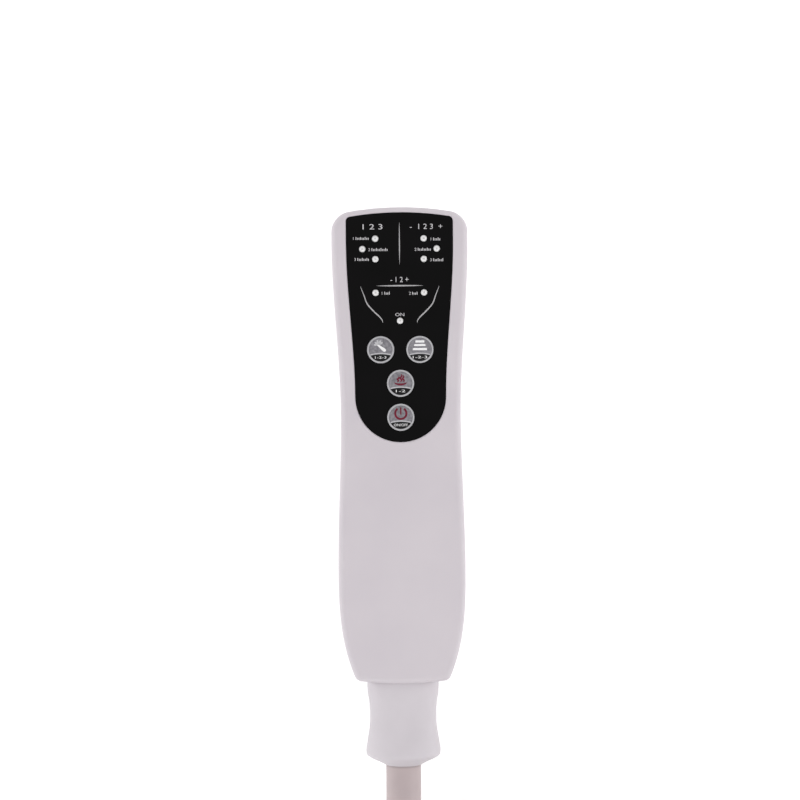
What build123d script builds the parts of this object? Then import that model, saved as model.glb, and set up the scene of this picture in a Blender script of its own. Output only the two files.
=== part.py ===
"""Hand controller of an air-compression foot massager, lying on its back.

+Y runs to the head end, +Z out of the front panel and +X to the right as seen from the front.
The origin is at the middle of the back. All sizes are in millimetres.
"""

import math
import os

from build123d import *

os.makedirs("parts", exist_ok=True)

# Casing
CASE_LENGTH = 208.0
CASE_THICKNESS = 38.0
TAIL_THICKNESS = 35.0
PARTING_HEIGHT = 18.0
WALL = 2.2
HEAD_WIDTH = 59.9
WAIST_WIDTH = 52.85
BELLY_WIDTH = 56.05
TAIL_WIDTH = 41.0
TAIL_LEAN = 24.0
TAIL_BOW = 1.5
HEAD_ARC_RADIUS = 132.0
HEAD_CORNER_RADIUS = 9.0
TAIL_CORNER_RADIUS = 3.4
LEAST_CORNER_RADIUS = 0.5
EDGE_RADIUS = 3.0
SHOULDER_FROM_HEAD = 15.9
WAIST_FROM_HEAD = 90.9
BELLY_FROM_HEAD = 157.9
CROWN_FROM_TAIL = 74.0
BACK_DRAW = 2.6
FRONT_DRAW = 0.5
SEAM_GAP = 0.3
LIP_THICKNESS = 1.0
LIP_HEIGHT = 1.6
LIP_CLEARANCE = 0.1

# Control panel
PANEL_TOP_MARGIN = 2.95
PANEL_SIDE_MARGIN = 6.85
PANEL_CORNER_RADIUS = 2.0
PANEL_SHOULDER_FROM_HEAD = 15.9
PANEL_FOOT_FROM_HEAD = 82.75
PANEL_THICKNESS = 1.8
PANEL_SINK = 0.5
PANEL_CLEARANCE = 0.15
LEDGE_WIDTH = 2.5
LEDGE_THICKNESS = 2.0
RECESS_RIM = 1.5
RECESS_BEVEL = 0.5

# Buttons
RING_DIAMETER = 11.7
RING_WALL = 0.75
BUTTON_CLEARANCE = 0.2
BUTTON_PROUD = 0.6
BUTTON_EDGE_RADIUS = 0.35
FLANGE_DIAMETER = 13.8
FLANGE_THICKNESS = 1.0
FLANGE_GAP = 0.05
STEM_DIAMETER = 4.0
BUTTON_SPACING = 17.0
UPPER_BUTTONS_FROM_HEAD = 62.35
HEAT_BUTTON_FROM_HEAD = 76.95
POWER_BUTTON_FROM_HEAD = 91.65

# Lights
LED_DIAMETER = 3.0
LED_HOLE_CLEARANCE = 0.05
LED_FLANGE_DIAMETER = 3.8
LED_FLANGE_THICKNESS = 1.0
LED_PROUD = 0.7
LED_LEAD_DIAMETER = 0.5
LED_LEAD_PITCH = 2.54
LED_LEAD_TAIL = 1.0
SPACER_DIAMETER = 5.0
SPACER_BORE = 3.3
SPACER_HEIGHT = 5.0
INNER_LED_FROM_SIDE = 12.6
OUTER_LED_FROM_SIDE = 7.0
FIRST_LED_FROM_HEAD = 14.2
LED_ROW_PITCH = 4.45
HEAT_LED_FROM_HEAD = 37.65
POWER_LED_FROM_HEAD = 49.85

# Main board
BOARD_THICKNESS = 1.6
PANEL_TO_BOARD = 8.4
BOARD_EDGE_GAP = 1.2
BOARD_TOP_FROM_HEAD = 11.2
BOARD_FOOT_FROM_HEAD = 98.0
BOARD_BOSS_DIAMETER = 5.0
BOARD_BOSS_SIDE_GAP = 4.4
BOARD_NOTCH_CLEARANCE = 0.5
UPPER_BOSS_FROM_HEAD = 18.0
LOWER_BOSS_FROM_HEAD = 92.5
BOARD_SCREW_DIAMETER = 2.2
BOARD_SCREW_LENGTH = 6.5
BOARD_SCREW_HEAD = 4.4
BOARD_SCREW_HEAD_HEIGHT = 1.6
SWITCH_SIDE = 6.0
SWITCH_HEIGHT = 3.5
SWITCH_WELL = 2.6
PLUNGER_DIAMETER = 3.4
PLUNGER_CLEARANCE = 0.1
PLUNGER_PROUD = 0.8
PLUNGER_LENGTH = 2.6

# Parts soldered to the board
CHIP_SIDE = 10.0
CHIP_HEIGHT = 1.8
CHIP_FROM_HEAD = 67.0
CAPACITOR_DIAMETER = 6.3
CAPACITOR_HEIGHT = 7.0
CAPACITOR_OFFSET = 12.0
CAPACITOR_FROM_HEAD = 26.9
CAPACITOR_PITCH = 7.0
PLUG_WIDTH = 7.5
PLUG_DEPTH = 5.0
PLUG_HEIGHT = 5.0
PLUG_OFFSET = 12.5
PLUG_FROM_HEAD = 89.0
SENSOR_SIDE = 8.0
SENSOR_HEIGHT = 4.0
SENSOR_FROM_HEAD = 47.0
SENSOR_NIPPLE = 2.4

# Case screws and their bosses
CASE_BOSS_DIAMETER = 7.4
CASE_SCREW_DIAMETER = 2.6
CASE_SCREW_HOLE = 2.8
CASE_SCREW_LENGTH = 22.0
CASE_SCREW_HEAD = 5.0
CASE_SCREW_HEAD_HEIGHT = 2.0
CASE_SCREW_WELL = 5.5
DRIVER_SHARE = 0.6
CASE_SCREW_WELL_DEPTH = 6.0
HEAD_SCREW_OFFSET = 21.0
HEAD_SCREW_FROM_HEAD = 8.4
TAIL_SCREW_OFFSET = 16.0
TAIL_SCREW_FROM_TAIL = 12.5

# Power inlet
INLET_WIDTH = 9.0
INLET_HEIGHT = 11.0
INLET_LENGTH = 14.0
INLET_BORE = 6.4
INLET_BORE_DEPTH = 9.5
INLET_PIN = 2.0
INLET_PIN_SINK = 2.4
INLET_HOLE = 8.4
INLET_WALL_GAP = 0.2
INLET_CHAMFER = 1.5

# Air pump, measured along its axis from the tail of the motor
PUMP_AXIS_HEIGHT = 18.0
PUMP_FROM_TAIL = 23.5
PUMP_DIAMETER = 27.0
MOTOR_DIAMETER = 24.0
MOTOR_WALL = 0.8
END_CAP_LENGTH = 3.5
MOTOR_LENGTH = 30.0
SHAFT_DIAMETER = 2.0
BEARING_CLEARANCE = 0.03
BUSH_DIAMETER = 6.0
BUSH_LENGTH = 2.6
SHAFT_PROUD = 1.0
ARMATURE_DIAMETER = 16.0
ARMATURE_LENGTH = 18.0
ARMATURE_SLOTS = 3
SLOT_WIDTH = 2.0
COMMUTATOR_DIAMETER = 6.0
COMMUTATOR_LENGTH = 4.5
AIR_GAP = 0.6
MAGNET_LENGTH = 21.0
MAGNET_SPAN = 140.0
HOUSING_LENGTH = 16.0
HOUSING_BORE = 22.0
ECCENTRIC_DIAMETER = 9.0
ECCENTRIC_LENGTH = 5.0
CRANK_OFFSET = 2.2
CRANK_PIN_DIAMETER = 1.6
CRANK_PIN_LENGTH = 3.6
WOBBLE_DIAMETER = 18.0
WOBBLE_THICKNESS = 1.6
WOBBLE_HUB_LENGTH = 4.0
WOBBLE_HUB_WALL = 1.2
WOBBLE_CLEARANCE = 0.4
WOBBLE_POSTS = 3
POST_DIAMETER = 3.0
POST_LENGTH = 1.4
POST_CIRCLE = 11.0
DIAPHRAGM_THICKNESS = 1.5
VALVE_PLATE_THICKNESS = 3.0
VALVE_PLATE_HOLE = 2.4
PUMP_HEAD_LENGTH = 8.0
PUMP_HEAD_WALL = 1.8
PUMP_NIPPLE_DIAMETER = 4.0
PUMP_NIPPLE_BORE = 2.0
PUMP_NIPPLE_LENGTH = 7.0
PUMP_SCREWS = 4
PUMP_SCREW_CIRCLE = 23.6
PUMP_SCREW_DIAMETER = 1.6
PUMP_SCREW_LENGTH = 17.0
PUMP_SCREW_HEAD = 2.8
PUMP_SCREW_HEAD_HEIGHT = 1.2
SLEEVE_WALL = 1.5
SLEEVE_CLEARANCE = 0.05
SLEEVE_INSET = 4.0
CRADLE_THICKNESS = 2.0
CRADLE_INSET = 8.0
CRADLE_DROP = 6.0

# Valves and the block that carries them
PUMP_TUBE_RUN = 25.0
BLOCK_WIDTH = 30.0
BLOCK_DEPTH = 14.0
BLOCK_HEIGHT = 6.0
VALVE_SPACING = 17.0
CHAMBER_DEPTH = 2.6
VALVE_BORE = 4.4
VALVE_PLUNGER_DIAMETER = 4.2
VALVE_PLUNGER_LENGTH = 7.0
SEAT_GAP = 0.1
BOBBIN_HEIGHT = 11.0
BOBBIN_FLANGE = 11.6
BOBBIN_FLANGE_THICKNESS = 1.0
BOBBIN_WALL = 0.8
WINDING_DIAMETER = 11.0
FRAME_THICKNESS = 1.2
FRAME_WIDTH = 12.0
CORE_LENGTH = 3.0
SPRING_DIAMETER = 3.8
SPRING_BORE = 2.8
NIPPLE_DIAMETER = 3.2
NIPPLE_BORE = 1.8
NIPPLE_LENGTH = 4.0
NIPPLE_HEIGHT = 3.2
OUTLET_SPACING = 24.0

# Boot and hose
HOSE_DIAMETER = 15.4
HOSE_AXIS_HEIGHT = 18.0
BOOT_LENGTH = 36.9
BOOT_WIDTH = 31.6
BOOT_WAIST_WIDTH = 29.2
BOOT_WAIST_FROM_TAIL = 15.0
BOOT_RIM_WIDTH = 32.8
BOOT_RIM_LENGTH = 1.6
BOOT_RIM_FROM_TAIL = 30.2
BOOT_DOME_START = 32.3
BOOT_DOME_BULGE = 0.6
BOOT_FLATNESS = 0.92
BOOT_BORE = 12.0
BOOT_NECK_DIAMETER = 20.0
BOOT_NECK_CLEARANCE = 0.1
BOOT_FLANGE_DIAMETER = 23.0
BOOT_FLANGE_THICKNESS = 2.2
HOSE_CORE_CLEARANCE = 0.1
HOSE_RUN_OUT = 22.4
HOSE_HUMP_FROM_BOOT = 47.4
HOSE_HUMP_RISE = 7.6
HOSE_HUMP_SHIFT = 0.8
HOSE_LANDING = 18.5
HOSE_BEND_SHARE = 0.45

# Air tubes and leads inside
AIR_TUBE_DIAMETER = 5.0
AIR_TUBE_BORE = 3.2
AIR_TUBE_SPACING = 5.2
SIDE_TUBE_GAP = 1.0
SIDE_TUBE_HEIGHT = 6.0
TUBE_BEND_RADIUS = 6.0
TUBE_SETTLE = 10.0
WIRE_DIAMETER = 1.2
WIRE_SPACING = 1.7
WIRE_BEND_RADIUS = 2.5
WIRE_LEVEL = 19.5

# Coil of the hose that is put away on the surface, and what lies on it
COIL_INNER_RADIUS = 65.0
COIL_PITCH = 16.1
COIL_SWEEP = 545.0
COIL_STEP = 45.0
COIL_CENTRE_X = 63.0
COIL_NEAR_EDGE = 58.3
COIL_START_RISE = 12.0
COIL_START_SLOPE = 0.148
TIE_THICKNESS = 0.8
TIE_WIDTH = 16.0
TIE_CLEARANCE = 0.1
TIE_SIDE_CLEARANCE = 0.7
TIE_SWEEP = 100.0
CONNECTOR_LENGTH = 36.0
CONNECTOR_WIDTH = 22.0
CONNECTOR_HEIGHT = 15.4
CONNECTOR_EDGE_RADIUS = 2.5
CONNECTOR_COLLAR = 10.0
SPIGOT_DIAMETER = 6.0
SPIGOT_BORE = 3.0
SPIGOT_LENGTH = 9.0
SPIGOT_SPACING = 12.0

# Places that follow from the sizes
HEAD_END = CASE_LENGTH / 2
TAIL_END = -CASE_LENGTH / 2
PANEL_TOP = CASE_THICKNESS - PANEL_SINK
PANEL_BACK = PANEL_TOP - PANEL_THICKNESS
PANEL_HALF_WIDTH = HEAD_WIDTH / 2 - PANEL_SIDE_MARGIN
INNER_LED_OFFSET = PANEL_HALF_WIDTH - INNER_LED_FROM_SIDE
OUTER_LED_OFFSET = PANEL_HALF_WIDTH - OUTER_LED_FROM_SIDE
BOARD_TOP = PANEL_BACK - PANEL_TO_BOARD
BOARD_BACK = BOARD_TOP - BOARD_THICKNESS
INLET_AXIS_HEIGHT = WALL + INLET_HEIGHT / 2
CAP_DIAMETER = RING_DIAMETER - 2 * RING_WALL
FLANGE_TOP = PANEL_BACK - FLANGE_GAP
SWITCH_TOP = BOARD_TOP + SWITCH_HEIGHT
PLUNGER_TOP = SWITCH_TOP + PLUNGER_PROUD
PUMP_START = TAIL_END + PUMP_FROM_TAIL
MOTOR_FRONT = PUMP_START + END_CAP_LENGTH + MOTOR_LENGTH
HOUSING_FRONT = MOTOR_FRONT + HOUSING_LENGTH
DIAPHRAGM_FRONT = HOUSING_FRONT + DIAPHRAGM_THICKNESS
PLATE_FRONT = DIAPHRAGM_FRONT + VALVE_PLATE_THICKNESS
PUMP_FRONT = PLATE_FRONT + PUMP_HEAD_LENGTH
SLEEVE_DIAMETER = PUMP_DIAMETER + 2 * SLEEVE_WALL
BLOCK_Y = PUMP_FRONT + PUMP_NIPPLE_LENGTH + PUMP_TUBE_RUN + NIPPLE_LENGTH + BLOCK_DEPTH / 2
BLOCK_TOP = WALL + BLOCK_HEIGHT
BOBBIN_TOP = BLOCK_TOP + BOBBIN_HEIGHT
VALVE_PLUNGER_BASE = BLOCK_TOP - CHAMBER_DEPTH + SEAT_GAP
VALVE_PLUNGER_TOP = VALVE_PLUNGER_BASE + VALVE_PLUNGER_LENGTH
CORE_BASE = BOBBIN_TOP - CORE_LENGTH
BOOT_END = TAIL_END - BOOT_LENGTH
SHAFT_BORE = SHAFT_DIAMETER + 2 * BEARING_CLEARANCE
CAN_BACK = PUMP_START + END_CAP_LENGTH
CAN_BORE = MOTOR_DIAMETER - 2 * MOTOR_WALL
MAGNET_OUTER = CAN_BORE
MAGNET_INNER = ARMATURE_DIAMETER + 2 * AIR_GAP
ARMATURE_CENTRE = CAN_BACK + MOTOR_LENGTH / 2
ECCENTRIC_FRONT = MOTOR_FRONT + BUSH_LENGTH + ECCENTRIC_LENGTH
WOBBLE_FRONT = HOUSING_FRONT - POST_LENGTH
WOBBLE_BACK = WOBBLE_FRONT - WOBBLE_THICKNESS
HUB_BORE = 2 * (CRANK_OFFSET + CRANK_PIN_DIAMETER / 2 + WOBBLE_CLEARANCE)
COIL_NORTH_RADIUS = COIL_INNER_RADIUS + COIL_PITCH * (270 / 360)
COIL_CENTRE_Y = TAIL_END - COIL_NEAR_EDGE - COIL_NORTH_RADIUS - HOSE_DIAMETER / 2
COIL_FLOOR = HOSE_DIAMETER / 2 + TIE_CLEARANCE + TIE_THICKNESS
BUTTONS = {
    "mode": (-BUTTON_SPACING / 2, HEAD_END - UPPER_BUTTONS_FROM_HEAD),
    "pressure": (BUTTON_SPACING / 2, HEAD_END - UPPER_BUTTONS_FROM_HEAD),
    "heat": (0.0, HEAD_END - HEAT_BUTTON_FROM_HEAD),
    "power": (0.0, HEAD_END - POWER_BUTTON_FROM_HEAD),
}
FIRST_LED_ROW = HEAD_END - FIRST_LED_FROM_HEAD


def led_group(side):
    """Places of the three lights in the head's corner on one side, the middle one set outwards."""
    return [
        (side * INNER_LED_OFFSET, FIRST_LED_ROW),
        (side * OUTER_LED_OFFSET, FIRST_LED_ROW - LED_ROW_PITCH),
        (side * INNER_LED_OFFSET, FIRST_LED_ROW - 2 * LED_ROW_PITCH),
    ]


LEDS = {
    "mode_leds": led_group(-1),
    "pressure_leds": led_group(1),
    "heat_leds": [(side * INNER_LED_OFFSET, HEAD_END - HEAT_LED_FROM_HEAD) for side in (-1, 1)],
    "power_led": [(0.0, HEAD_END - POWER_LED_FROM_HEAD)],
}
ALL_LEDS = [place for places in LEDS.values() for place in places]


def write(name, shape):
    """Writes one piece, or one group of like pieces, under its name."""
    export_step(shape, f"parts/{name}.step")


def group(solids):
    """Several separate solids of one kind as one shape."""
    return Compound(children=list(solids))


def upright(x, y, low, high, diameter):
    """A cylinder along Z between two heights."""
    return Pos(x, y, (low + high) / 2) * Cylinder(diameter / 2, high - low)


def lengthwise(x, z, start, end, diameter):
    """A cylinder along Y between two stations."""
    return Pos(x, (start + end) / 2, z) * Rot(X=90) * Cylinder(diameter / 2, end - start)


def block(low, high):
    """A box between two corners."""
    size = [b - a for a, b in zip(low, high)]
    centre = [(a + b) / 2 for a, b in zip(low, high)]
    return Pos(*centre) * Box(*size)


def mirrored(edges):
    """Edges of the right half and their mirror images on the left."""
    return edges + [mirror(edge, about=Plane.YZ) for edge in edges]


def head_arc_height(radius_loss, margin, half_width):
    """Station where the head's arc, drawn in by a margin, meets a half width."""
    radius = HEAD_ARC_RADIUS - radius_loss
    centre = HEAD_END - margin - radius
    return centre + math.sqrt(radius**2 - half_width**2)


def plan_outline(inset, draw=0.0):
    """The casing from the front: arched head, waist, belly and narrow, bowed tail, drawn in all round."""
    loss = inset + draw
    head = HEAD_WIDTH / 2 - loss
    waist = WAIST_WIDTH / 2 - loss
    belly = BELLY_WIDTH / 2 - loss
    tail = TAIL_WIDTH / 2 - loss
    shoulder_y = HEAD_END - SHOULDER_FROM_HEAD
    waist_y = HEAD_END - WAIST_FROM_HEAD
    belly_y = HEAD_END - BELLY_FROM_HEAD
    tail_y = TAIL_END + loss + TAIL_BOW
    corner_y = head_arc_height(loss, loss, head)
    neck_third = (shoulder_y - waist_y) / 3
    hip_third = (waist_y - belly_y) / 3
    tail_third = (belly_y - tail_y) / 3
    tail_control = tail + tail_third * math.tan(math.radians(TAIL_LEAN))
    at_shoulder = (head, shoulder_y)
    at_waist = (waist, waist_y)
    at_belly = (belly, belly_y)
    side = [
        Line((head, corner_y), at_shoulder),
        Bezier(at_shoulder, (head, shoulder_y - neck_third), (waist, waist_y + neck_third), at_waist),
        Bezier(at_waist, (waist, waist_y - hip_third), (belly, belly_y + hip_third), at_belly),
        Bezier(at_belly, (belly, belly_y - tail_third), (tail_control, tail_y + tail_third), (tail, tail_y)),
    ]
    top = ThreePointArc((-head, corner_y), (0, HEAD_END - loss), (head, corner_y))
    foot = ThreePointArc((-tail, tail_y), (0, TAIL_END + loss), (tail, tail_y))
    face = make_face(mirrored(side) + [top, foot])
    face = fillet(face.vertices().group_by(Axis.Y)[-1], max(HEAD_CORNER_RADIUS - inset, LEAST_CORNER_RADIUS))
    return fillet(face.vertices().group_by(Axis.Y)[0], max(TAIL_CORNER_RADIUS - inset, LEAST_CORNER_RADIUS))


def panel_outline(grow):
    """The control panel as seen from the front: arched top, sides that draw in, and a half-round foot."""
    half_width = PANEL_HALF_WIDTH + grow
    foot_radius = WAIST_WIDTH / 2 - PANEL_SIDE_MARGIN + grow
    shoulder_y = HEAD_END - PANEL_SHOULDER_FROM_HEAD
    foot_y = HEAD_END - PANEL_FOOT_FROM_HEAD
    corner_y = head_arc_height(-grow, PANEL_TOP_MARGIN - grow, half_width)
    third = (shoulder_y - foot_y) / 3
    side = [
        Line((half_width, corner_y), (half_width, shoulder_y)),
        Bezier(
            (half_width, shoulder_y),
            (half_width, shoulder_y - third),
            (foot_radius, foot_y + third),
            (foot_radius, foot_y),
        ),
    ]
    top_y = HEAD_END - PANEL_TOP_MARGIN + grow
    top = ThreePointArc((-half_width, corner_y), (0, top_y), (half_width, corner_y))
    foot = ThreePointArc((-foot_radius, foot_y), (0, foot_y - foot_radius), (foot_radius, foot_y))
    face = make_face(mirrored(side) + [top, foot])
    return fillet(face.vertices().group_by(Axis.Y)[-1], max(PANEL_CORNER_RADIUS + grow, LEAST_CORNER_RADIUS))


def slab(outline, low, high):
    """An outline raised between two heights."""
    return extrude(Pos(0, 0, low) * outline, high - low)


def back_body(inset):
    """The back half of the casing as a solid: sides that draw in to a flat back with a rounded edge."""
    low = Pos(0, 0, inset) * plan_outline(inset, BACK_DRAW)
    high = Pos(0, 0, PARTING_HEIGHT) * plan_outline(inset)
    solid = loft([low, high], ruled=True)
    return fillet(solid.edges().group_by(Axis.Z)[0], EDGE_RADIUS - inset)


def front_height(inset, y):
    """Height of the front face: flat over the panel, then falling along an arc to the tail."""
    drop = CASE_THICKNESS - TAIL_THICKNESS
    radius = (CROWN_FROM_TAIL**2 + drop**2) / (2 * drop)
    along = max(TAIL_END + CROWN_FROM_TAIL - y, 0)
    return CASE_THICKNESS - radius + math.sqrt((radius - inset) ** 2 - along**2)


def front_body(inset):
    """The front half of the casing as a solid, cut to the crowned front face, with a rounded edge."""
    low = Pos(0, 0, PARTING_HEIGHT) * plan_outline(inset)
    high = Pos(0, 0, CASE_THICKNESS - inset) * plan_outline(inset, FRONT_DRAW)
    solid = loft([low, high], ruled=True)
    crown_y = TAIL_END + CROWN_FROM_TAIL
    top = CASE_THICKNESS - inset
    end_y = TAIL_END - 2 * EDGE_RADIUS
    end = (end_y, front_height(inset, end_y))
    beyond = HEAD_END + EDGE_RADIUS
    above = CASE_THICKNESS + EDGE_RADIUS
    waste = make_face(
        [
            Line((beyond, top), (crown_y, top)),
            TangentArc((crown_y, top), end, tangent=(-1, 0)),
            Line(end, (end_y, above)),
            Line((end_y, above), (beyond, above)),
            Line((beyond, above), (beyond, top)),
        ]
    )
    solid -= extrude(Plane.YZ * waste, HEAD_WIDTH, both=True)
    rim = [edge for edge in solid.edges() if is_front_rim(edge, inset)]
    return fillet(rim, EDGE_RADIUS - inset)


def is_front_rim(edge, inset):
    """Whether an edge runs round the front face, and isn't a corner's or the start of the crown."""
    box = edge.bounding_box()
    high = box.min.Z > front_height(inset, TAIL_END) - WALL / 2
    across_crown = abs(edge.center().Y - TAIL_END - CROWN_FROM_TAIL) < 0.01 and box.size.X > WAIST_WIDTH / 2
    return high and not across_crown


def case_screw_places():
    """The four case screws: two near the head's corners and two beside the boot."""
    head = [(side * HEAD_SCREW_OFFSET, HEAD_END - HEAD_SCREW_FROM_HEAD) for side in (-1, 1)]
    tail = [(side * TAIL_SCREW_OFFSET, TAIL_END + TAIL_SCREW_FROM_TAIL) for side in (-1, 1)]
    return head + tail


def board_screw_places():
    """The board's four screws, as far from the casing's sides as their bosses need."""
    upper = HEAD_WIDTH / 2 - WALL - BOARD_BOSS_SIDE_GAP
    lower = WAIST_WIDTH / 2 - WALL - BOARD_BOSS_SIDE_GAP
    rows = ((upper, HEAD_END - UPPER_BOSS_FROM_HEAD), (lower, HEAD_END - LOWER_BOSS_FROM_HEAD))
    return [(side * x, y) for x, y in rows for side in (-1, 1)]


def cradle(low, high):
    """Ribs across one shell that hold the pump's sleeve, cut round to its size."""
    stations = (PUMP_START + END_CAP_LENGTH + CRADLE_INSET, HOUSING_FRONT - CRADLE_INSET)
    seat = SLEEVE_DIAMETER + 2 * SLEEVE_CLEARANCE
    reach = side_tube_offset() - AIR_TUBE_DIAMETER / 2 - SIDE_TUBE_GAP / 2
    ribs = Part()
    for y in stations:
        ribs += block((-reach, y, low), (reach, y + CRADLE_THICKNESS, high))
    return ribs - lengthwise(0, PUMP_AXIS_HEIGHT, PUMP_START, HOUSING_FRONT, seat)


def boot_hole():
    """The round hole in the tail wall that the boot's neck fills."""
    diameter = BOOT_NECK_DIAMETER + 2 * BOOT_NECK_CLEARANCE
    return lengthwise(0, HOSE_AXIS_HEIGHT, TAIL_END - WALL, TAIL_END + 2 * WALL, diameter)


def rear_cover():
    """The back shell, with its lip, screw bosses, cradle ribs and the power inlet's hole."""
    outer = back_body(0)
    shell = outer - back_body(WALL)
    lip = slab(plan_outline(WALL - LIP_THICKNESS), PARTING_HEIGHT - SEAM_GAP, PARTING_HEIGHT + LIP_HEIGHT)
    lip -= slab(plan_outline(WALL), PARTING_HEIGHT - WALL, PARTING_HEIGHT + WALL)
    shell += lip + (outer & cradle(WALL / 2, PUMP_AXIS_HEIGHT - CRADLE_DROP))
    for x, y in case_screw_places():
        shell += outer & upright(x, y, WALL / 2, PARTING_HEIGHT - SEAM_GAP, CASE_BOSS_DIAMETER)
    for x, y in case_screw_places():
        shell -= upright(x, y, 0, CASE_SCREW_WELL_DEPTH, CASE_SCREW_WELL)
        shell -= upright(x, y, 0, PARTING_HEIGHT, CASE_SCREW_HOLE)
    shell -= lengthwise(0, INLET_AXIS_HEIGHT, HEAD_END - 2 * WALL, HEAD_END + WALL, INLET_HOLE)
    return shell - boot_hole()


def front_cover():
    """The front shell, with the panel's recess and ledge, board bosses and screw bosses."""
    outer = front_body(0)
    shell = outer - front_body(WALL)
    groove = slab(
        plan_outline(WALL - LIP_THICKNESS - LIP_CLEARANCE),
        PARTING_HEIGHT,
        PARTING_HEIGHT + LIP_HEIGHT + LIP_CLEARANCE,
    )
    shell -= groove
    ledge_low = PANEL_BACK - LEDGE_THICKNESS
    shell += slab(panel_outline(RECESS_RIM), ledge_low, PANEL_BACK)
    shell += outer & cradle(PUMP_AXIS_HEIGHT + CRADLE_DROP, CASE_THICKNESS - WALL / 2)
    for x, y in board_screw_places():
        shell += upright(x, y, BOARD_TOP, PANEL_BACK, BOARD_BOSS_DIAMETER)
    for x, y in case_screw_places():
        top = front_height(WALL / 2, y)
        shell += outer & upright(x, y, PARTING_HEIGHT, top, CASE_BOSS_DIAMETER)
    shell -= slab(panel_outline(PANEL_CLEARANCE), PANEL_BACK, CASE_THICKNESS + WALL)
    bevel = loft(
        [
            Pos(0, 0, CASE_THICKNESS - RECESS_BEVEL) * panel_outline(PANEL_CLEARANCE),
            Pos(0, 0, CASE_THICKNESS + RECESS_BEVEL) * panel_outline(PANEL_CLEARANCE + 2 * RECESS_BEVEL),
        ],
        ruled=True,
    )
    shell -= bevel
    shell -= slab(panel_outline(-LEDGE_WIDTH), ledge_low - WALL, PANEL_BACK + WALL)
    for x, y in board_screw_places():
        shell -= upright(x, y, BOARD_TOP, BOARD_TOP + BOARD_SCREW_LENGTH, BOARD_SCREW_DIAMETER)
    for x, y in case_screw_places():
        tip = CASE_SCREW_WELL_DEPTH + CASE_SCREW_LENGTH
        shell -= upright(x, y, PARTING_HEIGHT, tip, CASE_SCREW_DIAMETER)
    shell -= slab(plan_outline(-WALL), PARTING_HEIGHT - WALL, PARTING_HEIGHT + SEAM_GAP / 2)
    return shell - boot_hole()


def cross_recess(x, y, low, high, width):
    """The cross-shaped driver slot in a screw's head."""
    slot = width / 4
    along = block((x - width / 2, y - slot / 2, low), (x + width / 2, y + slot / 2, high))
    across = block((x - slot / 2, y - width / 2, low), (x + slot / 2, y + width / 2, high))
    return along + across


def case_screws():
    """Four pan-head screws, driven from the back into the front shell."""
    screws = []
    for x, y in case_screw_places():
        base = CASE_SCREW_WELL_DEPTH
        head = upright(x, y, base - CASE_SCREW_HEAD_HEIGHT, base, CASE_SCREW_HEAD)
        shank = upright(x, y, base, base + CASE_SCREW_LENGTH, CASE_SCREW_DIAMETER)
        slot_top = base - CASE_SCREW_HEAD_HEIGHT / 2
        slot = cross_recess(x, y, 0, slot_top, CASE_SCREW_HEAD * DRIVER_SHARE)
        screws.append(head + shank - slot)
    return group(screws)


def board_screws():
    """Four small screws that hold the board to the front shell's bosses."""
    screws = []
    for x, y in board_screw_places():
        head = upright(x, y, BOARD_BACK - BOARD_SCREW_HEAD_HEIGHT, BOARD_BACK, BOARD_SCREW_HEAD)
        shank = upright(x, y, BOARD_BACK, BOARD_TOP + BOARD_SCREW_LENGTH, BOARD_SCREW_DIAMETER)
        slot_top = BOARD_BACK - BOARD_SCREW_HEAD_HEIGHT / 2
        slot_base = BOARD_BACK - 2 * BOARD_SCREW_HEAD_HEIGHT
        slot = cross_recess(x, y, slot_base, slot_top, BOARD_SCREW_HEAD * DRIVER_SHARE)
        screws.append(head + shank - slot)
    return group(screws)


def control_panel():
    """The black plate, with its holes for the buttons and the lights."""
    plate = slab(panel_outline(0), PANEL_BACK, PANEL_TOP)
    for x, y in BUTTONS.values():
        plate -= upright(x, y, PANEL_BACK, PANEL_TOP, RING_DIAMETER + 2 * BUTTON_CLEARANCE)
    for x, y in ALL_LEDS:
        plate -= upright(x, y, PANEL_BACK, PANEL_TOP, LED_DIAMETER + 2 * LED_HOLE_CLEARANCE)
    return plate


def button_cap(x, y):
    """A button's cap, its flange behind the panel and the stem that presses the switch."""
    top = PANEL_TOP + BUTTON_PROUD
    cap = upright(x, y, FLANGE_TOP - FLANGE_THICKNESS, top, CAP_DIAMETER)
    cap = fillet(cap.edges().group_by(Axis.Z)[-1], BUTTON_EDGE_RADIUS)
    flange = upright(x, y, FLANGE_TOP - FLANGE_THICKNESS, FLANGE_TOP, FLANGE_DIAMETER)
    stem = upright(x, y, PLUNGER_TOP, FLANGE_TOP, STEM_DIAMETER)
    return cap + flange + stem


def button_ring(x, y):
    """The silver ring pressed round a cap, standing on its flange."""
    top = PANEL_TOP + BUTTON_PROUD
    ring = upright(x, y, FLANGE_TOP, top, RING_DIAMETER)
    ring = fillet(ring.edges().group_by(Axis.Z)[-1], BUTTON_EDGE_RADIUS)
    return ring - upright(x, y, FLANGE_TOP - WALL, top + WALL, CAP_DIAMETER)


def switch_plunger(x, y):
    """The round plunger of a tactile switch."""
    return upright(x, y, PLUNGER_TOP - PLUNGER_LENGTH, PLUNGER_TOP, PLUNGER_DIAMETER)


def switch_bodies():
    """Four square tactile switches on the board, each with a well for its plunger."""
    bodies = []
    half = SWITCH_SIDE / 2
    for x, y in BUTTONS.values():
        body = block((x - half, y - half, BOARD_TOP), (x + half, y + half, SWITCH_TOP))
        well = PLUNGER_DIAMETER + 2 * PLUNGER_CLEARANCE
        bodies.append(body - upright(x, y, SWITCH_TOP - SWITCH_WELL, SWITCH_TOP, well))
    return group(bodies)


def led_lead_places(x, y):
    """The two leads of one light."""
    return [(x + side * LED_LEAD_PITCH / 2, y) for side in (-1, 1)]


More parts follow.
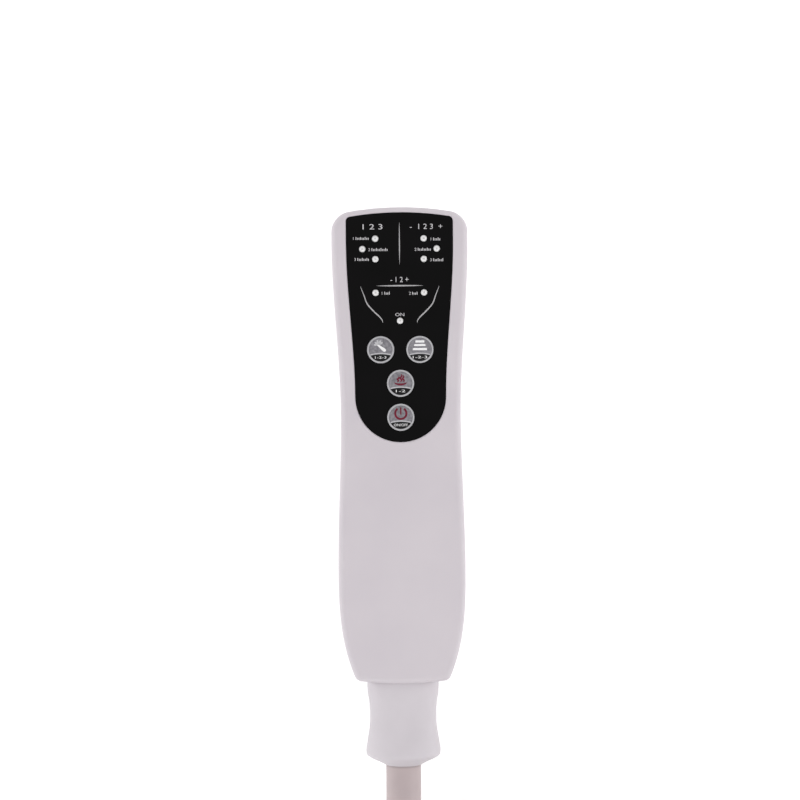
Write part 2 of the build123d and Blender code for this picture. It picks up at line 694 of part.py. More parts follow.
def leds(places):
    """Round lights with a flange on their spacer, a domed top and two leads through the board."""
    lights = []
    flange_base = BOARD_TOP + SPACER_HEIGHT
    tip = PANEL_TOP + LED_PROUD
    radius = LED_DIAMETER / 2
    for x, y in places:
        light = upright(x, y, flange_base, flange_base + LED_FLANGE_THICKNESS, LED_FLANGE_DIAMETER)
        light += upright(x, y, flange_base, tip - radius, LED_DIAMETER)
        light += Pos(x, y, tip - radius) * Sphere(radius)
        for lead_x, lead_y in led_lead_places(x, y):
            light += upright(lead_x, lead_y, BOARD_BACK - LED_LEAD_TAIL, flange_base, LED_LEAD_DIAMETER)
        lights.append(light)
    return group(lights)


def led_spacers():
    """Nine short tubes that hold the lights up to the panel."""
    tubes = []
    for x, y in ALL_LEDS:
        tube = upright(x, y, BOARD_TOP, BOARD_TOP + SPACER_HEIGHT, SPACER_DIAMETER)
        tubes.append(tube - upright(x, y, BOARD_TOP, BOARD_TOP + SPACER_HEIGHT, SPACER_BORE))
    return group(tubes)


def main_board():
    """The circuit board, cut to the casing's outline and round the screw bosses, with its holes."""
    outline = plan_outline(WALL + BOARD_EDGE_GAP)
    board = slab(outline, BOARD_BACK, BOARD_TOP)
    top_y = HEAD_END - BOARD_TOP_FROM_HEAD
    foot_y = HEAD_END - BOARD_FOOT_FROM_HEAD
    board &= block((-HEAD_WIDTH, foot_y, 0), (HEAD_WIDTH, top_y, CASE_THICKNESS))
    for x, y in case_screw_places():
        board -= upright(x, y, BOARD_BACK, BOARD_TOP, CASE_BOSS_DIAMETER + 2 * BOARD_NOTCH_CLEARANCE)
    for x, y in board_screw_places():
        board -= upright(x, y, BOARD_BACK, BOARD_TOP, BOARD_SCREW_DIAMETER)
    for x, y in ALL_LEDS:
        for lead_x, lead_y in led_lead_places(x, y):
            board -= upright(lead_x, lead_y, BOARD_BACK, BOARD_TOP, LED_LEAD_DIAMETER)
    return board


def controller_chip():
    """The control chip, flat on the board's back."""
    half = CHIP_SIDE / 2
    y = HEAD_END - CHIP_FROM_HEAD
    return block((-half, y - half, BOARD_BACK - CHIP_HEIGHT), (half, y + half, BOARD_BACK))


def board_capacitors():
    """Four round capacitors that hang from the board's back."""
    cans = []
    for side in (-1, 1):
        for row in (0, 1):
            x = side * CAPACITOR_OFFSET
            y = HEAD_END - CAPACITOR_FROM_HEAD - row * CAPACITOR_PITCH
            cans.append(upright(x, y, BOARD_BACK - CAPACITOR_HEIGHT, BOARD_BACK, CAPACITOR_DIAMETER))
    return group(cans)


def board_connectors():
    """Two plugs at the board's foot for the motor's and the heaters' leads."""
    plugs = []
    y = HEAD_END - PLUG_FROM_HEAD
    for side in (-1, 1):
        x = side * PLUG_OFFSET
        low = (x - PLUG_WIDTH / 2, y - PLUG_DEPTH / 2, BOARD_BACK - PLUG_HEIGHT)
        plugs.append(block(low, (x + PLUG_WIDTH / 2, y + PLUG_DEPTH / 2, BOARD_BACK)))
    return group(plugs)


def pressure_sensor():
    """The air pressure sensor on the board's back, with its nipple pointing down."""
    half = SENSOR_SIDE / 2
    y = HEAD_END - SENSOR_FROM_HEAD
    base = BOARD_BACK - SENSOR_HEIGHT
    body = block((CAPACITOR_OFFSET - half, y - half, base), (CAPACITOR_OFFSET + half, y + half, BOARD_BACK))
    return body + upright(CAPACITOR_OFFSET, y, base - SENSOR_HEIGHT, base, SENSOR_NIPPLE)


def dc_socket():
    """The power inlet: a block behind the head wall with a round bore and a centre pin."""
    front = head_arc_height(WALL, WALL, INLET_WIDTH / 2) - BACK_DRAW - INLET_WALL_GAP
    back = front - INLET_LENGTH
    low = (-INLET_WIDTH / 2, back, INLET_AXIS_HEIGHT - INLET_HEIGHT / 2)
    high = (INLET_WIDTH / 2, front, INLET_AXIS_HEIGHT + INLET_HEIGHT / 2)
    body = block(low, high)
    body = chamfer(body.edges().group_by(Axis.Y)[-1].sort_by(Axis.Z)[0], INLET_CHAMFER)
    body -= lengthwise(0, INLET_AXIS_HEIGHT, front - INLET_BORE_DEPTH, front, INLET_BORE)
    return body + lengthwise(0, INLET_AXIS_HEIGHT, back, front - INLET_PIN_SINK, INLET_PIN)


def pump_tube_piece(start, end, outer, bore):
    """A tube round the pump's axis between two stations."""
    shell = lengthwise(0, PUMP_AXIS_HEIGHT, start, end, outer)
    return shell - lengthwise(0, PUMP_AXIS_HEIGHT, start, end, bore)


def pump_ring(count, circle):
    """Places evenly round the pump's axis, as X and Z."""
    places = []
    for index in range(count):
        angle = 2 * math.pi * (index + 0.5) / count
        x = circle / 2 * math.sin(angle)
        places.append((x, PUMP_AXIS_HEIGHT + circle / 2 * math.cos(angle)))
    return places


def motor_can():
    """The drawn steel can of the motor, open at the back, with a hole for the front bush."""
    can = pump_tube_piece(CAN_BACK, MOTOR_FRONT, MOTOR_DIAMETER, CAN_BORE)
    return can + pump_tube_piece(MOTOR_FRONT - MOTOR_WALL, MOTOR_FRONT, MOTOR_DIAMETER, BUSH_DIAMETER)


def motor_end_cap():
    """The plastic cap that closes the can and holds the rear bush."""
    return pump_tube_piece(PUMP_START, CAN_BACK, MOTOR_DIAMETER, BUSH_DIAMETER)


def motor_bushes():
    """The two plain bearings of the motor's shaft."""
    rear = pump_tube_piece(PUMP_START + END_CAP_LENGTH - BUSH_LENGTH, CAN_BACK, BUSH_DIAMETER, SHAFT_BORE)
    front_start = MOTOR_FRONT - MOTOR_WALL
    front = pump_tube_piece(front_start, front_start + BUSH_LENGTH, BUSH_DIAMETER, SHAFT_BORE)
    return group([rear, front])


def motor_magnets():
    """Two curved magnets inside the can, one on each side."""
    half = MAGNET_LENGTH / 2
    tube = pump_tube_piece(ARMATURE_CENTRE - half, ARMATURE_CENTRE + half, MAGNET_OUTER, MAGNET_INNER)
    reach = MOTOR_DIAMETER
    lean = math.radians(MAGNET_SPAN / 2)
    magnets = []
    for side in (-1, 1):
        tip = (side * reach * math.cos(lean), reach * math.sin(lean))
        foot = (side * reach * math.cos(lean), -reach * math.sin(lean))
        wedge = make_face(Polyline((0, 0), tip, (side * reach, reach), (side * reach, -reach), foot, (0, 0)))
        wedge = Pos(0, ARMATURE_CENTRE - half, PUMP_AXIS_HEIGHT) * Rot(X=90) * wedge
        magnets.append(tube & extrude(wedge, MAGNET_LENGTH, dir=(0, 1, 0)))
    return group(magnets)


def motor_shaft():
    """The steel shaft, from behind the end cap to the front of the eccentric."""
    return lengthwise(0, PUMP_AXIS_HEIGHT, PUMP_START - SHAFT_PROUD, ECCENTRIC_FRONT, SHAFT_DIAMETER)


def motor_armature():
    """The slotted iron armature and the commutator behind it, pressed on the shaft."""
    half = ARMATURE_LENGTH / 2
    back = ARMATURE_CENTRE - half
    core = pump_tube_piece(back, ARMATURE_CENTRE + half, ARMATURE_DIAMETER, SHAFT_DIAMETER)
    for index in range(ARMATURE_SLOTS):
        slot = block(
            (-SLOT_WIDTH / 2, back, ARMATURE_DIAMETER / 4),
            (SLOT_WIDTH / 2, back + ARMATURE_LENGTH, ARMATURE_DIAMETER),
        )
        core -= Pos(0, 0, PUMP_AXIS_HEIGHT) * Rot(Y=360 * index / ARMATURE_SLOTS) * slot
    return core + pump_tube_piece(back - COMMUTATOR_LENGTH, back, COMMUTATOR_DIAMETER, SHAFT_DIAMETER)


def pump_eccentric():
    """The eccentric on the shaft's front end, with the pin that tilts the wobble plate."""
    back = ECCENTRIC_FRONT - ECCENTRIC_LENGTH
    disc = pump_tube_piece(back, ECCENTRIC_FRONT, ECCENTRIC_DIAMETER, SHAFT_DIAMETER)
    height = PUMP_AXIS_HEIGHT + CRANK_OFFSET
    pin_end = ECCENTRIC_FRONT + CRANK_PIN_LENGTH
    return disc + lengthwise(0, height, ECCENTRIC_FRONT, pin_end, CRANK_PIN_DIAMETER)


def crank_housing():
    """The pump's rear housing, round the eccentric and the wobble plate."""
    back_wall = PUMP_HEAD_WALL
    housing = pump_tube_piece(MOTOR_FRONT + back_wall, HOUSING_FRONT, PUMP_DIAMETER, HOUSING_BORE)
    housing += pump_tube_piece(MOTOR_FRONT, MOTOR_FRONT + back_wall, PUMP_DIAMETER, BUSH_DIAMETER)
    for x, z in pump_ring(PUMP_SCREWS, PUMP_SCREW_CIRCLE):
        housing -= lengthwise(x, z, PUMP_FRONT - PUMP_SCREW_LENGTH, HOUSING_FRONT, PUMP_SCREW_DIAMETER)
    return housing


def wobble_plate():
    """The plate that the crank pin tilts, with a hub round the pin and posts on the diaphragm."""
    hub_outer = HUB_BORE + 2 * WOBBLE_HUB_WALL
    plate = lengthwise(0, PUMP_AXIS_HEIGHT, WOBBLE_BACK, WOBBLE_FRONT, WOBBLE_DIAMETER)
    plate += pump_tube_piece(WOBBLE_BACK - WOBBLE_HUB_LENGTH, WOBBLE_BACK, hub_outer, HUB_BORE)
    for x, z in pump_ring(WOBBLE_POSTS, POST_CIRCLE):
        plate += lengthwise(x, z, WOBBLE_FRONT, HOUSING_FRONT, POST_DIAMETER)
    return plate


def bolted_disc(start, end):
    """A disc of the pump's diameter with the pump screws' holes."""
    disc = lengthwise(0, PUMP_AXIS_HEIGHT, start, end, PUMP_DIAMETER)
    for x, z in pump_ring(PUMP_SCREWS, PUMP_SCREW_CIRCLE):
        disc -= lengthwise(x, z, start, end, PUMP_SCREW_DIAMETER)
    return disc


def pump_diaphragm():
    """The rubber diaphragm between the housing and the valve plate."""
    return bolted_disc(HOUSING_FRONT, DIAPHRAGM_FRONT)


def valve_plate():
    """The plate with the pump's inlet and outlet holes."""
    plate = bolted_disc(DIAPHRAGM_FRONT, PLATE_FRONT)
    for x, z in pump_ring(WOBBLE_POSTS, POST_CIRCLE):
        plate -= lengthwise(x, z, DIAPHRAGM_FRONT, PLATE_FRONT, VALVE_PLATE_HOLE)
    return plate


def pump_head():
    """The pump's front cap, with the air chamber and the outlet nipple."""
    head = bolted_disc(PLATE_FRONT, PUMP_FRONT)
    chamber = POST_CIRCLE + POST_DIAMETER
    head -= lengthwise(0, PUMP_AXIS_HEIGHT, PLATE_FRONT, PUMP_FRONT - PUMP_HEAD_WALL, chamber)
    end = PUMP_FRONT + PUMP_NIPPLE_LENGTH
    head += lengthwise(0, PUMP_AXIS_HEIGHT, PUMP_FRONT, end, PUMP_NIPPLE_DIAMETER)
    return head - lengthwise(0, PUMP_AXIS_HEIGHT, PUMP_FRONT - PUMP_HEAD_WALL, end, PUMP_NIPPLE_BORE)


def pump_screws():
    """Four long screws that clamp the head, the valve plate and the diaphragm to the housing."""
    screws = []
    for x, z in pump_ring(PUMP_SCREWS, PUMP_SCREW_CIRCLE):
        shank = lengthwise(x, z, PUMP_FRONT - PUMP_SCREW_LENGTH, PUMP_FRONT, PUMP_SCREW_DIAMETER)
        head = lengthwise(x, z, PUMP_FRONT, PUMP_FRONT + PUMP_SCREW_HEAD_HEIGHT, PUMP_SCREW_HEAD)
        screws.append(shank + head)
    return group(screws)


def pump_sleeve():
    """The foam sleeve that quiets the pump, close round the motor and the pump's wider front."""
    start = CAN_BACK + SLEEVE_INSET
    end = PUMP_FRONT - SLEEVE_INSET
    rear = pump_tube_piece(start, MOTOR_FRONT, SLEEVE_DIAMETER, MOTOR_DIAMETER + 2 * SLEEVE_CLEARANCE)
    return rear + pump_tube_piece(MOTOR_FRONT, end, SLEEVE_DIAMETER, PUMP_DIAMETER + 2 * SLEEVE_CLEARANCE)


def bent_tube(points, radii, diameter, bore=0.0):
    """A tube or wire along straight runs joined by arcs."""
    path = FilletPolyline(*points, radius=radii)
    plane = Plane(origin=path @ 0, z_dir=path % 0)
    section = plane * Circle(diameter / 2)
    tube = sweep(section, path=path)
    if bore:
        tube -= sweep(plane * Circle(bore / 2), path=path)
    return tube


def block_nipple(x, y_side):
    """One nipple on a side of the valve block, as its station pair."""
    face = BLOCK_Y + y_side * BLOCK_DEPTH / 2
    tip = face + y_side * NIPPLE_LENGTH
    return min(face, tip), max(face, tip), x


def valve_places():
    """The two valves, side by side on the block."""
    return [("left", -VALVE_SPACING / 2, BLOCK_Y), ("right", VALVE_SPACING / 2, BLOCK_Y)]


def air_manifold():
    """The block under the valves, with one inlet, two outlets and a chamber for each valve."""
    half_width = BLOCK_WIDTH / 2
    half_depth = BLOCK_DEPTH / 2
    body = block((-half_width, BLOCK_Y - half_depth, WALL), (half_width, BLOCK_Y + half_depth, BLOCK_TOP))
    for _, x, y in valve_places():
        body -= upright(x, y, BLOCK_TOP - CHAMBER_DEPTH, BLOCK_TOP, VALVE_BORE)
    height = WALL + NIPPLE_HEIGHT
    for x in (-OUTLET_SPACING / 2, 0, OUTLET_SPACING / 2):
        start, end, place = block_nipple(x, -1)
        body += lengthwise(place, height, start, end, NIPPLE_DIAMETER)
        body -= lengthwise(place, height, start, end + half_depth / 2, NIPPLE_BORE)
    return body


def valve_bobbins():
    """The plastic spools that guide the plungers and carry the windings."""
    spools = []
    for _, x, y in valve_places():
        spool = upright(x, y, BLOCK_TOP, BOBBIN_TOP, VALVE_BORE + 2 * BOBBIN_WALL)
        spool += upright(x, y, BLOCK_TOP, BLOCK_TOP + BOBBIN_FLANGE_THICKNESS, BOBBIN_FLANGE)
        spool += upright(x, y, BOBBIN_TOP - BOBBIN_FLANGE_THICKNESS, BOBBIN_TOP, BOBBIN_FLANGE)
        spools.append(spool - upright(x, y, BLOCK_TOP, BOBBIN_TOP, VALVE_BORE))
    return group(spools)


def valve_coils():
    """The copper windings on the spools."""
    windings = []
    for _, x, y in valve_places():
        low = BLOCK_TOP + BOBBIN_FLANGE_THICKNESS
        high = BOBBIN_TOP - BOBBIN_FLANGE_THICKNESS
        winding = upright(x, y, low, high, WINDING_DIAMETER)
        windings.append(winding - upright(x, y, low, high, VALVE_BORE + 2 * BOBBIN_WALL))
    return group(windings)


def valve_frames():
    """The steel frames over the spools, each with the fixed core that the plunger is drawn to."""
    frames = []
    for _, x, y in valve_places():
        inner = BOBBIN_FLANGE / 2
        outer = inner + FRAME_THICKNESS
        half = FRAME_WIDTH / 2
        frame = block((x - outer, y - half, BLOCK_TOP), (x + outer, y + half, BOBBIN_TOP + FRAME_THICKNESS))
        frame -= block((x - inner, y - half, BLOCK_TOP), (x + inner, y + half, BOBBIN_TOP))
        frame += upright(x, y, CORE_BASE, BOBBIN_TOP, VALVE_BORE)
        frames.append(frame)
    return group(frames)


def valve_plunger(x, y):
    """The iron plunger that opens a valve when it lifts."""
    return upright(x, y, VALVE_PLUNGER_BASE, VALVE_PLUNGER_TOP, VALVE_PLUNGER_DIAMETER)


def valve_spring(x, y):
    """The small spring between a plunger and its core, as the sleeve that it fills."""
    sleeve = upright(x, y, VALVE_PLUNGER_TOP, CORE_BASE, SPRING_DIAMETER)
    return sleeve - upright(x, y, VALVE_PLUNGER_TOP, CORE_BASE, SPRING_BORE)


def pump_tube():
    """The silicone tube from the pump's nipple down to the valve block's inlet."""
    start_y = PUMP_FRONT + PUMP_NIPPLE_LENGTH
    height = WALL + NIPPLE_HEIGHT
    end_y = BLOCK_Y - BLOCK_DEPTH / 2 - NIPPLE_LENGTH
    third = (end_y - start_y) / 3
    points = [
        (0, start_y, PUMP_AXIS_HEIGHT),
        (0, start_y + third, PUMP_AXIS_HEIGHT),
        (0, end_y - third, height),
        (0, end_y, height),
    ]
    return bent_tube(points, PUMP_NIPPLE_DIAMETER, AIR_TUBE_DIAMETER, PUMP_NIPPLE_BORE)


def side_tube_offset():
    """How far out the air tubes run, just inside the waist's wall."""
    return WAIST_WIDTH / 2 - BACK_DRAW - WALL - SIDE_TUBE_GAP - AIR_TUBE_DIAMETER / 2


def air_tubes():
    """The two tubes from the valve block's outlets, past the pump to the hose's core in the tail wall."""
    tubes = []
    height = WALL + NIPPLE_HEIGHT
    start_y = BLOCK_Y - BLOCK_DEPTH / 2 - NIPPLE_LENGTH
    pump_y = PUMP_FRONT + PUMP_NIPPLE_LENGTH
    for side in (-1, 1):
        outlet = side * OUTLET_SPACING / 2
        wide = side * side_tube_offset()
        close = side * AIR_TUBE_SPACING / 2
        points = [
            (outlet, start_y, height),
            (outlet, start_y - (start_y - pump_y) / 3, height),
            (wide, pump_y, SIDE_TUBE_HEIGHT),
            (wide, PUMP_START + TUBE_BEND_RADIUS, SIDE_TUBE_HEIGHT),
            (close, TAIL_END + TUBE_SETTLE, HOSE_AXIS_HEIGHT),
            (close, TAIL_END, HOSE_AXIS_HEIGHT),
        ]
        tubes.append(bent_tube(points, TUBE_BEND_RADIUS, AIR_TUBE_DIAMETER, AIR_TUBE_BORE))
    return group(tubes)


def plug_place(side):
    """Where the leads enter a board plug: the middle of its foot."""
    return side * PLUG_OFFSET, HEAD_END - PLUG_FROM_HEAD - PLUG_DEPTH / 2


def motor_leads():
    """Two wires from the motor's end cap, round the pump's left side, up to the board plug."""
    wires = []
    plug_x, plug_y = plug_place(-1)
    level = BOARD_BACK - PLUG_HEIGHT / 2
    wide = -(SLEEVE_DIAMETER / 2 + 2 * WIRE_SPACING + WIRE_DIAMETER)
    for index in (0, 1):
        lift = index * WIRE_SPACING
        back_y = PUMP_START - WIRE_BEND_RADIUS - 2 * WIRE_DIAMETER
        points = [
            (-MOTOR_DIAMETER / 4, PUMP_START, WIRE_LEVEL + lift),
            (-MOTOR_DIAMETER / 4, back_y, WIRE_LEVEL + lift),
            (wide, back_y + WIRE_BEND_RADIUS, WIRE_LEVEL + lift),
            (wide, plug_y - TUBE_SETTLE, WIRE_LEVEL + lift),
            (plug_x, plug_y - TUBE_SETTLE / 2, level - WIRE_SPACING / 2 + lift),
            (plug_x, plug_y, level - WIRE_SPACING / 2 + lift),
        ]
        wires.append(bent_tube(points, WIRE_BEND_RADIUS, WIRE_DIAMETER))
    return group(wires)


def heater_leads():
    """Two wires from the other board plug, past the pump's right side to the hose's core."""
    wires = []
    plug_x, plug_y = plug_place(1)
    level = BOARD_BACK - PLUG_HEIGHT / 2
    wide = SLEEVE_DIAMETER / 2 + 2 * WIRE_SPACING + WIRE_DIAMETER
    exit_height = HOSE_AXIS_HEIGHT + AIR_TUBE_DIAMETER / 2 + WIRE_DIAMETER
    for index in (0, 1):
        lift = index * WIRE_SPACING
        exit_x = (index - 0.5) * WIRE_SPACING
        points = [
            (plug_x, plug_y, level - WIRE_SPACING / 2 + lift),
            (plug_x, plug_y - TUBE_SETTLE / 2, level - WIRE_SPACING / 2 + lift),
            (wide, plug_y - TUBE_SETTLE, WIRE_LEVEL + lift),
            (wide, PUMP_START, WIRE_LEVEL + lift),
            (exit_x, TAIL_END + TUBE_SETTLE + index * WIRE_SPACING, exit_height),
            (exit_x, TAIL_END, exit_height),
        ]
        wires.append(bent_tube(points, WIRE_BEND_RADIUS, WIRE_DIAMETER))
    return group(wires)


def hose_boot():
    """The strain relief: a waisted sleeve with a flared, domed end, and a flanged neck in the tail wall."""
    start = BOOT_WIDTH / 2
    waist = BOOT_WAIST_WIDTH / 2
    rim = BOOT_RIM_WIDTH / 2
    hose = HOSE_DIAMETER / 2
    rim_y = TAIL_END - BOOT_RIM_FROM_TAIL
    waist_y = TAIL_END - BOOT_WAIST_FROM_TAIL
    rim_end = rim_y - BOOT_RIM_LENGTH
    dome_y = TAIL_END - BOOT_DOME_START
    root_y = TAIL_END + BACK_DRAW
    profile = make_face(
        [
            Line((0, root_y), (start, root_y)),
            Line((start, root_y), (start, TAIL_END)),
            ThreePointArc((start, TAIL_END), (waist, waist_y), (rim, rim_y)),
            Line((rim, rim_y), (rim, rim_end)),
            Line((rim, rim_end), (rim - BOOT_RIM_LENGTH / 2, dome_y)),
            ThreePointArc(
                (rim - BOOT_RIM_LENGTH / 2, dome_y),
                ((rim + hose) / 2, (dome_y + BOOT_END) / 2 - BOOT_DOME_BULGE),
                (hose, BOOT_END),
            ),
            Line((hose, BOOT_END), (0, BOOT_END)),
            Line((0, BOOT_END), (0, root_y)),
        ]
    )
    sleeve = Pos(0, 0, HOSE_AXIS_HEIGHT) * scale(revolve(profile, Axis.Y), (1, 1, BOOT_FLATNESS))
    sleeve = sleeve - back_body(0) - front_body(0)
    flange_end = TAIL_END + WALL + BACK_DRAW + BOOT_FLANGE_THICKNESS
    neck = lengthwise(0, HOSE_AXIS_HEIGHT, TAIL_END, flange_end, BOOT_NECK_DIAMETER)
    flange = lengthwise(0, HOSE_AXIS_HEIGHT, TAIL_END + WALL, flange_end, BOOT_FLANGE_DIAMETER)
    flange = (flange & back_body(WALL)) + (flange & front_body(WALL))
    boot = sleeve + neck + flange
    return boot - lengthwise(0, HOSE_AXIS_HEIGHT, BOOT_END, flange_end, BOOT_BORE)


def coil_radius(travel):
    """Radius of the flat spiral after a travel in degrees."""
    return COIL_INNER_RADIUS + COIL_PITCH * travel / 360


def coil_point(travel):
    """A point of the spiral's middle line, on the surface the coil lies on."""
    angle = math.radians(180 + travel)
    radius = coil_radius(travel)
    across = radius * math.cos(angle)
    along = radius * math.sin(angle)
    return Vector(COIL_CENTRE_X + across, COIL_CENTRE_Y + along, COIL_FLOOR)


def coil_way(travel):
    """The way the spiral runs at a travel in degrees."""
    angle = math.radians(180 + travel)
    growth = COIL_PITCH / (2 * math.pi)
    radius = coil_radius(travel)
    x = growth * math.cos(angle) - radius * math.sin(angle)
    y = growth * math.sin(angle) + radius * math.cos(angle)
    return Vector(x, y, 0).normalized()


def biarc(start, start_way, end, end_way):
    """Two arcs that leave one point and reach the next along given ways, and the middle point."""
    span = end - start
    both = start_way + end_way
    turn = 2 * (1 - start_way.dot(end_way))
    reach = (math.sqrt(span.dot(both) ** 2 + turn * span.dot(span)) - span.dot(both)) / turn
    first = start + start_way * reach
    second = end - end_way * reach
    middle = (first + second) * 0.5
    way = (second - first).normalized()
    return [Edge.make_tangent_arc(start, start_way, middle), Edge.make_tangent_arc(middle, way, end)]


def coil_start():
    """Where the coil's first arc starts, still above the surface, and its way down."""
    start = coil_point(0) + Vector(0, 0, COIL_START_RISE)
    way = coil_way(0) - Vector(0, 0, COIL_START_SLOPE)
    return start, way.normalized()


def coil_knots():
    """Points and ways of the coil: the start above the surface, then a quarter turn and even steps."""
    knots = [coil_start()]
    travel = 2 * COIL_STEP
    while travel < COIL_SWEEP:
        knots.append((coil_point(travel), coil_way(travel)))
        travel += COIL_STEP
    knots.append((coil_point(COIL_SWEEP), coil_way(COIL_SWEEP)))
    return knots


def coil_edges():
    """The coil's middle line: a straight end of one diameter, arcs, and another straight end."""
    knots = coil_knots()
    first, first_way = knots[0]
    last, last_way = knots[-1]
    edges = [Edge.make_line(first - first_way * HOSE_DIAMETER, first)]
    for (start, start_way), (end, end_way) in zip(knots, knots[1:]):
        edges += biarc(start, start_way, end, end_way)
    edges.append(Edge.make_line(last, last + last_way * HOSE_DIAMETER))
    return edges


def least_gap(edges):
    """The least gap between the coil's passes, measured on points of its middle line."""
    spots = []
    travelled = 0.0
    for edge in edges:
        steps = max(int(edge.length / 4), 1)
        for step in range(steps):
            spots.append((travelled + edge.length * step / steps, edge @ (step / steps)))
        travelled += edge.length
    least = math.inf
    for index, (here, spot) in enumerate(spots):
        for there, other in spots[index + 1 :]:
            if there - here > 4 * HOSE_DIAMETER:
                least = min(least, (other - spot).length)
    return least - HOSE_DIAMETER


def hose_points():
    """The free stretch's route: straight out of the boot, then over the coil's outer pass."""
    start, way = coil_start()
    end = start - way * HOSE_DIAMETER
    last = end - way * HOSE_LANDING
    return [
        Vector(0, BOOT_END, HOSE_AXIS_HEIGHT),
        Vector(0, BOOT_END - HOSE_RUN_OUT, HOSE_AXIS_HEIGHT),
        Vector(-HOSE_HUMP_SHIFT, BOOT_END - HOSE_HUMP_FROM_BOOT, HOSE_AXIS_HEIGHT + HOSE_HUMP_RISE),
        last,
        end,
    ]


def hose_radii(points):
    """The largest arc that each corner's two runs allow."""
    radii = []
    for before, here, after in zip(points, points[1:], points[2:]):
        turn = math.radians((here - before).get_angle(after - here))
        shorter = min((here - before).length, (after - here).length)
        radii.append(HOSE_BEND_SHARE * shorter / math.tan(turn / 2))
    return radii


def hose():
    """The free stretch of the air hose, from the boot to the coil, with the core that fills the boot."""
    points = hose_points()
    radii = hose_radii(points)
    path = FilletPolyline(*points, radius=radii)
    print("hose radii in diameters", [round(radius / HOSE_DIAMETER, 1) for radius in radii])
    print("hose length", round(path.length, 1))
    tube = bent_tube(points, radii, HOSE_DIAMETER)
    expected = math.pi * (HOSE_DIAMETER / 2) ** 2 * path.length
    print("hose volume over expected", round(tube.volume / expected, 4))
    core = lengthwise(0, HOSE_AXIS_HEIGHT, BOOT_END, TAIL_END, BOOT_BORE - 2 * HOSE_CORE_CLEARANCE)
    return tube + core


def hose_coil():
    """The put-away length of the hose, as one unbroken tube of flat spiral turns."""
    edges = coil_edges()
    path = Wire(edges)
    print("coil length", round(path.length, 1))
    print("coil least gap", round(least_gap(edges), 2))
    section = Plane(origin=path @ 0, z_dir=path % 0) * Circle(HOSE_DIAMETER / 2)
    coil = sweep(section, path=path)
    expected = math.pi * (HOSE_DIAMETER / 2) ** 2 * path.length
    print("coil volume over expected", round(coil.volume / expected, 4))
    return coil


def at_coil(travel, lift):
    """A plane on the coil's middle line: its X outwards, its Z along the hose."""
    way = coil_way(travel)
    outwards = Vector(way.Y, -way.X, 0)
    return Plane(origin=coil_point(travel) + Vector(0, 0, lift), x_dir=outwards, z_dir=way)


def hose_tie():
    """The strap round the coil's two passes, lying flat on the surface."""
    plane = at_coil(TIE_SWEEP, 0)
    across = HOSE_DIAMETER + COIL_PITCH + 2 * TIE_SIDE_CLEARANCE
    tall = HOSE_DIAMETER + 2 * TIE_CLEARANCE
    bend = tall / 2 - TIE_CLEARANCE
    inner = RectangleRounded(across, tall, bend)
    outer = RectangleRounded(across + 2 * TIE_THICKNESS, tall + 2 * TIE_THICKNESS, bend + TIE_THICKNESS)
    band = Pos(COIL_PITCH / 2, 0) * (outer - inner)
    return extrude(plane * band, TIE_WIDTH / 2, both=True)


def hose_connector():
    """The moulded plug on the hose's end, with two air spigots for the wraps."""
    way = coil_way(COIL_SWEEP)
    outwards = Vector(way.Y, -way.X, 0)
    start = coil_point(COIL_SWEEP) + way * HOSE_DIAMETER
    plane = Plane(origin=start, x_dir=outwards, z_dir=way)
    collar = extrude(plane * Circle(CONNECTOR_HEIGHT / 2), CONNECTOR_COLLAR)
    body_plane = plane.offset(CONNECTOR_COLLAR)
    outline = RectangleRounded(CONNECTOR_WIDTH, CONNECTOR_HEIGHT, CONNECTOR_EDGE_RADIUS)
    body = extrude(body_plane * outline, CONNECTOR_LENGTH)
    tip_plane = body_plane.offset(CONNECTOR_LENGTH)
    for side in (-1, 1):
        place = Pos(side * SPIGOT_SPACING / 2, 0)
        body += extrude(tip_plane * (place * Circle(SPIGOT_DIAMETER / 2)), SPIGOT_LENGTH)
        bore_plane = body_plane.offset(CONNECTOR_LENGTH / 2)
        depth = CONNECTOR_LENGTH / 2 + SPIGOT_LENGTH
        body -= extrude(bore_plane * (place * Circle(SPIGOT_BORE / 2)), depth)
    return collar + body


write("rear_cover", rear_cover())
write("front_cover", front_cover())
write("case_screws", case_screws())
write("control_panel", control_panel())
for button_name, (button_x, button_y) in BUTTONS.items():
    write(f"{button_name}_button_cap", button_cap(button_x, button_y))
    write(f"{button_name}_button_ring", button_ring(button_x, button_y))
    write(f"{button_name}_switch_plunger", switch_plunger(button_x, button_y))
write("switch_bodies", switch_bodies())
for led_name, led_places in LEDS.items():
    write(led_name, leds(led_places))
write("led_spacers", led_spacers())
write("main_board", main_board())
write("board_screws", board_screws())
write("controller_chip", controller_chip())
write("board_capacitors", board_capacitors())
write("board_connectors", board_connectors())
write("pressure_sensor", pressure_sensor())
write("dc_socket", dc_socket())
write("motor_can", motor_can())
write("motor_end_cap", motor_end_cap())
write("motor_bushes", motor_bushes())
write("motor_magnets", motor_magnets())
write("motor_shaft", motor_shaft())
write("motor_armature", motor_armature())
write("pump_eccentric", pump_eccentric())
write("crank_housing", crank_housing())
write("wobble_plate", wobble_plate())
write("pump_diaphragm", pump_diaphragm())
write("valve_plate", valve_plate())
write("pump_head", pump_head())
write("pump_screws", pump_screws())
write("pump_sleeve", pump_sleeve())
write("pump_tube", pump_tube())
write("air_manifold", air_manifold())
write("valve_bobbins", valve_bobbins())
write("valve_coils", valve_coils())
write("valve_frames", valve_frames())
for side_name, valve_x, valve_y in valve_places():
    write(f"{side_name}_valve_plunger", valve_plunger(valve_x, valve_y))
    write(f"{side_name}_valve_spring", valve_spring(valve_x, valve_y))
write("air_tubes", air_tubes())
write("motor_leads", motor_leads())
write("heater_leads", heater_leads())
write("hose_boot", hose_boot())
write("hose", hose())
write("hose_coil", hose_coil())
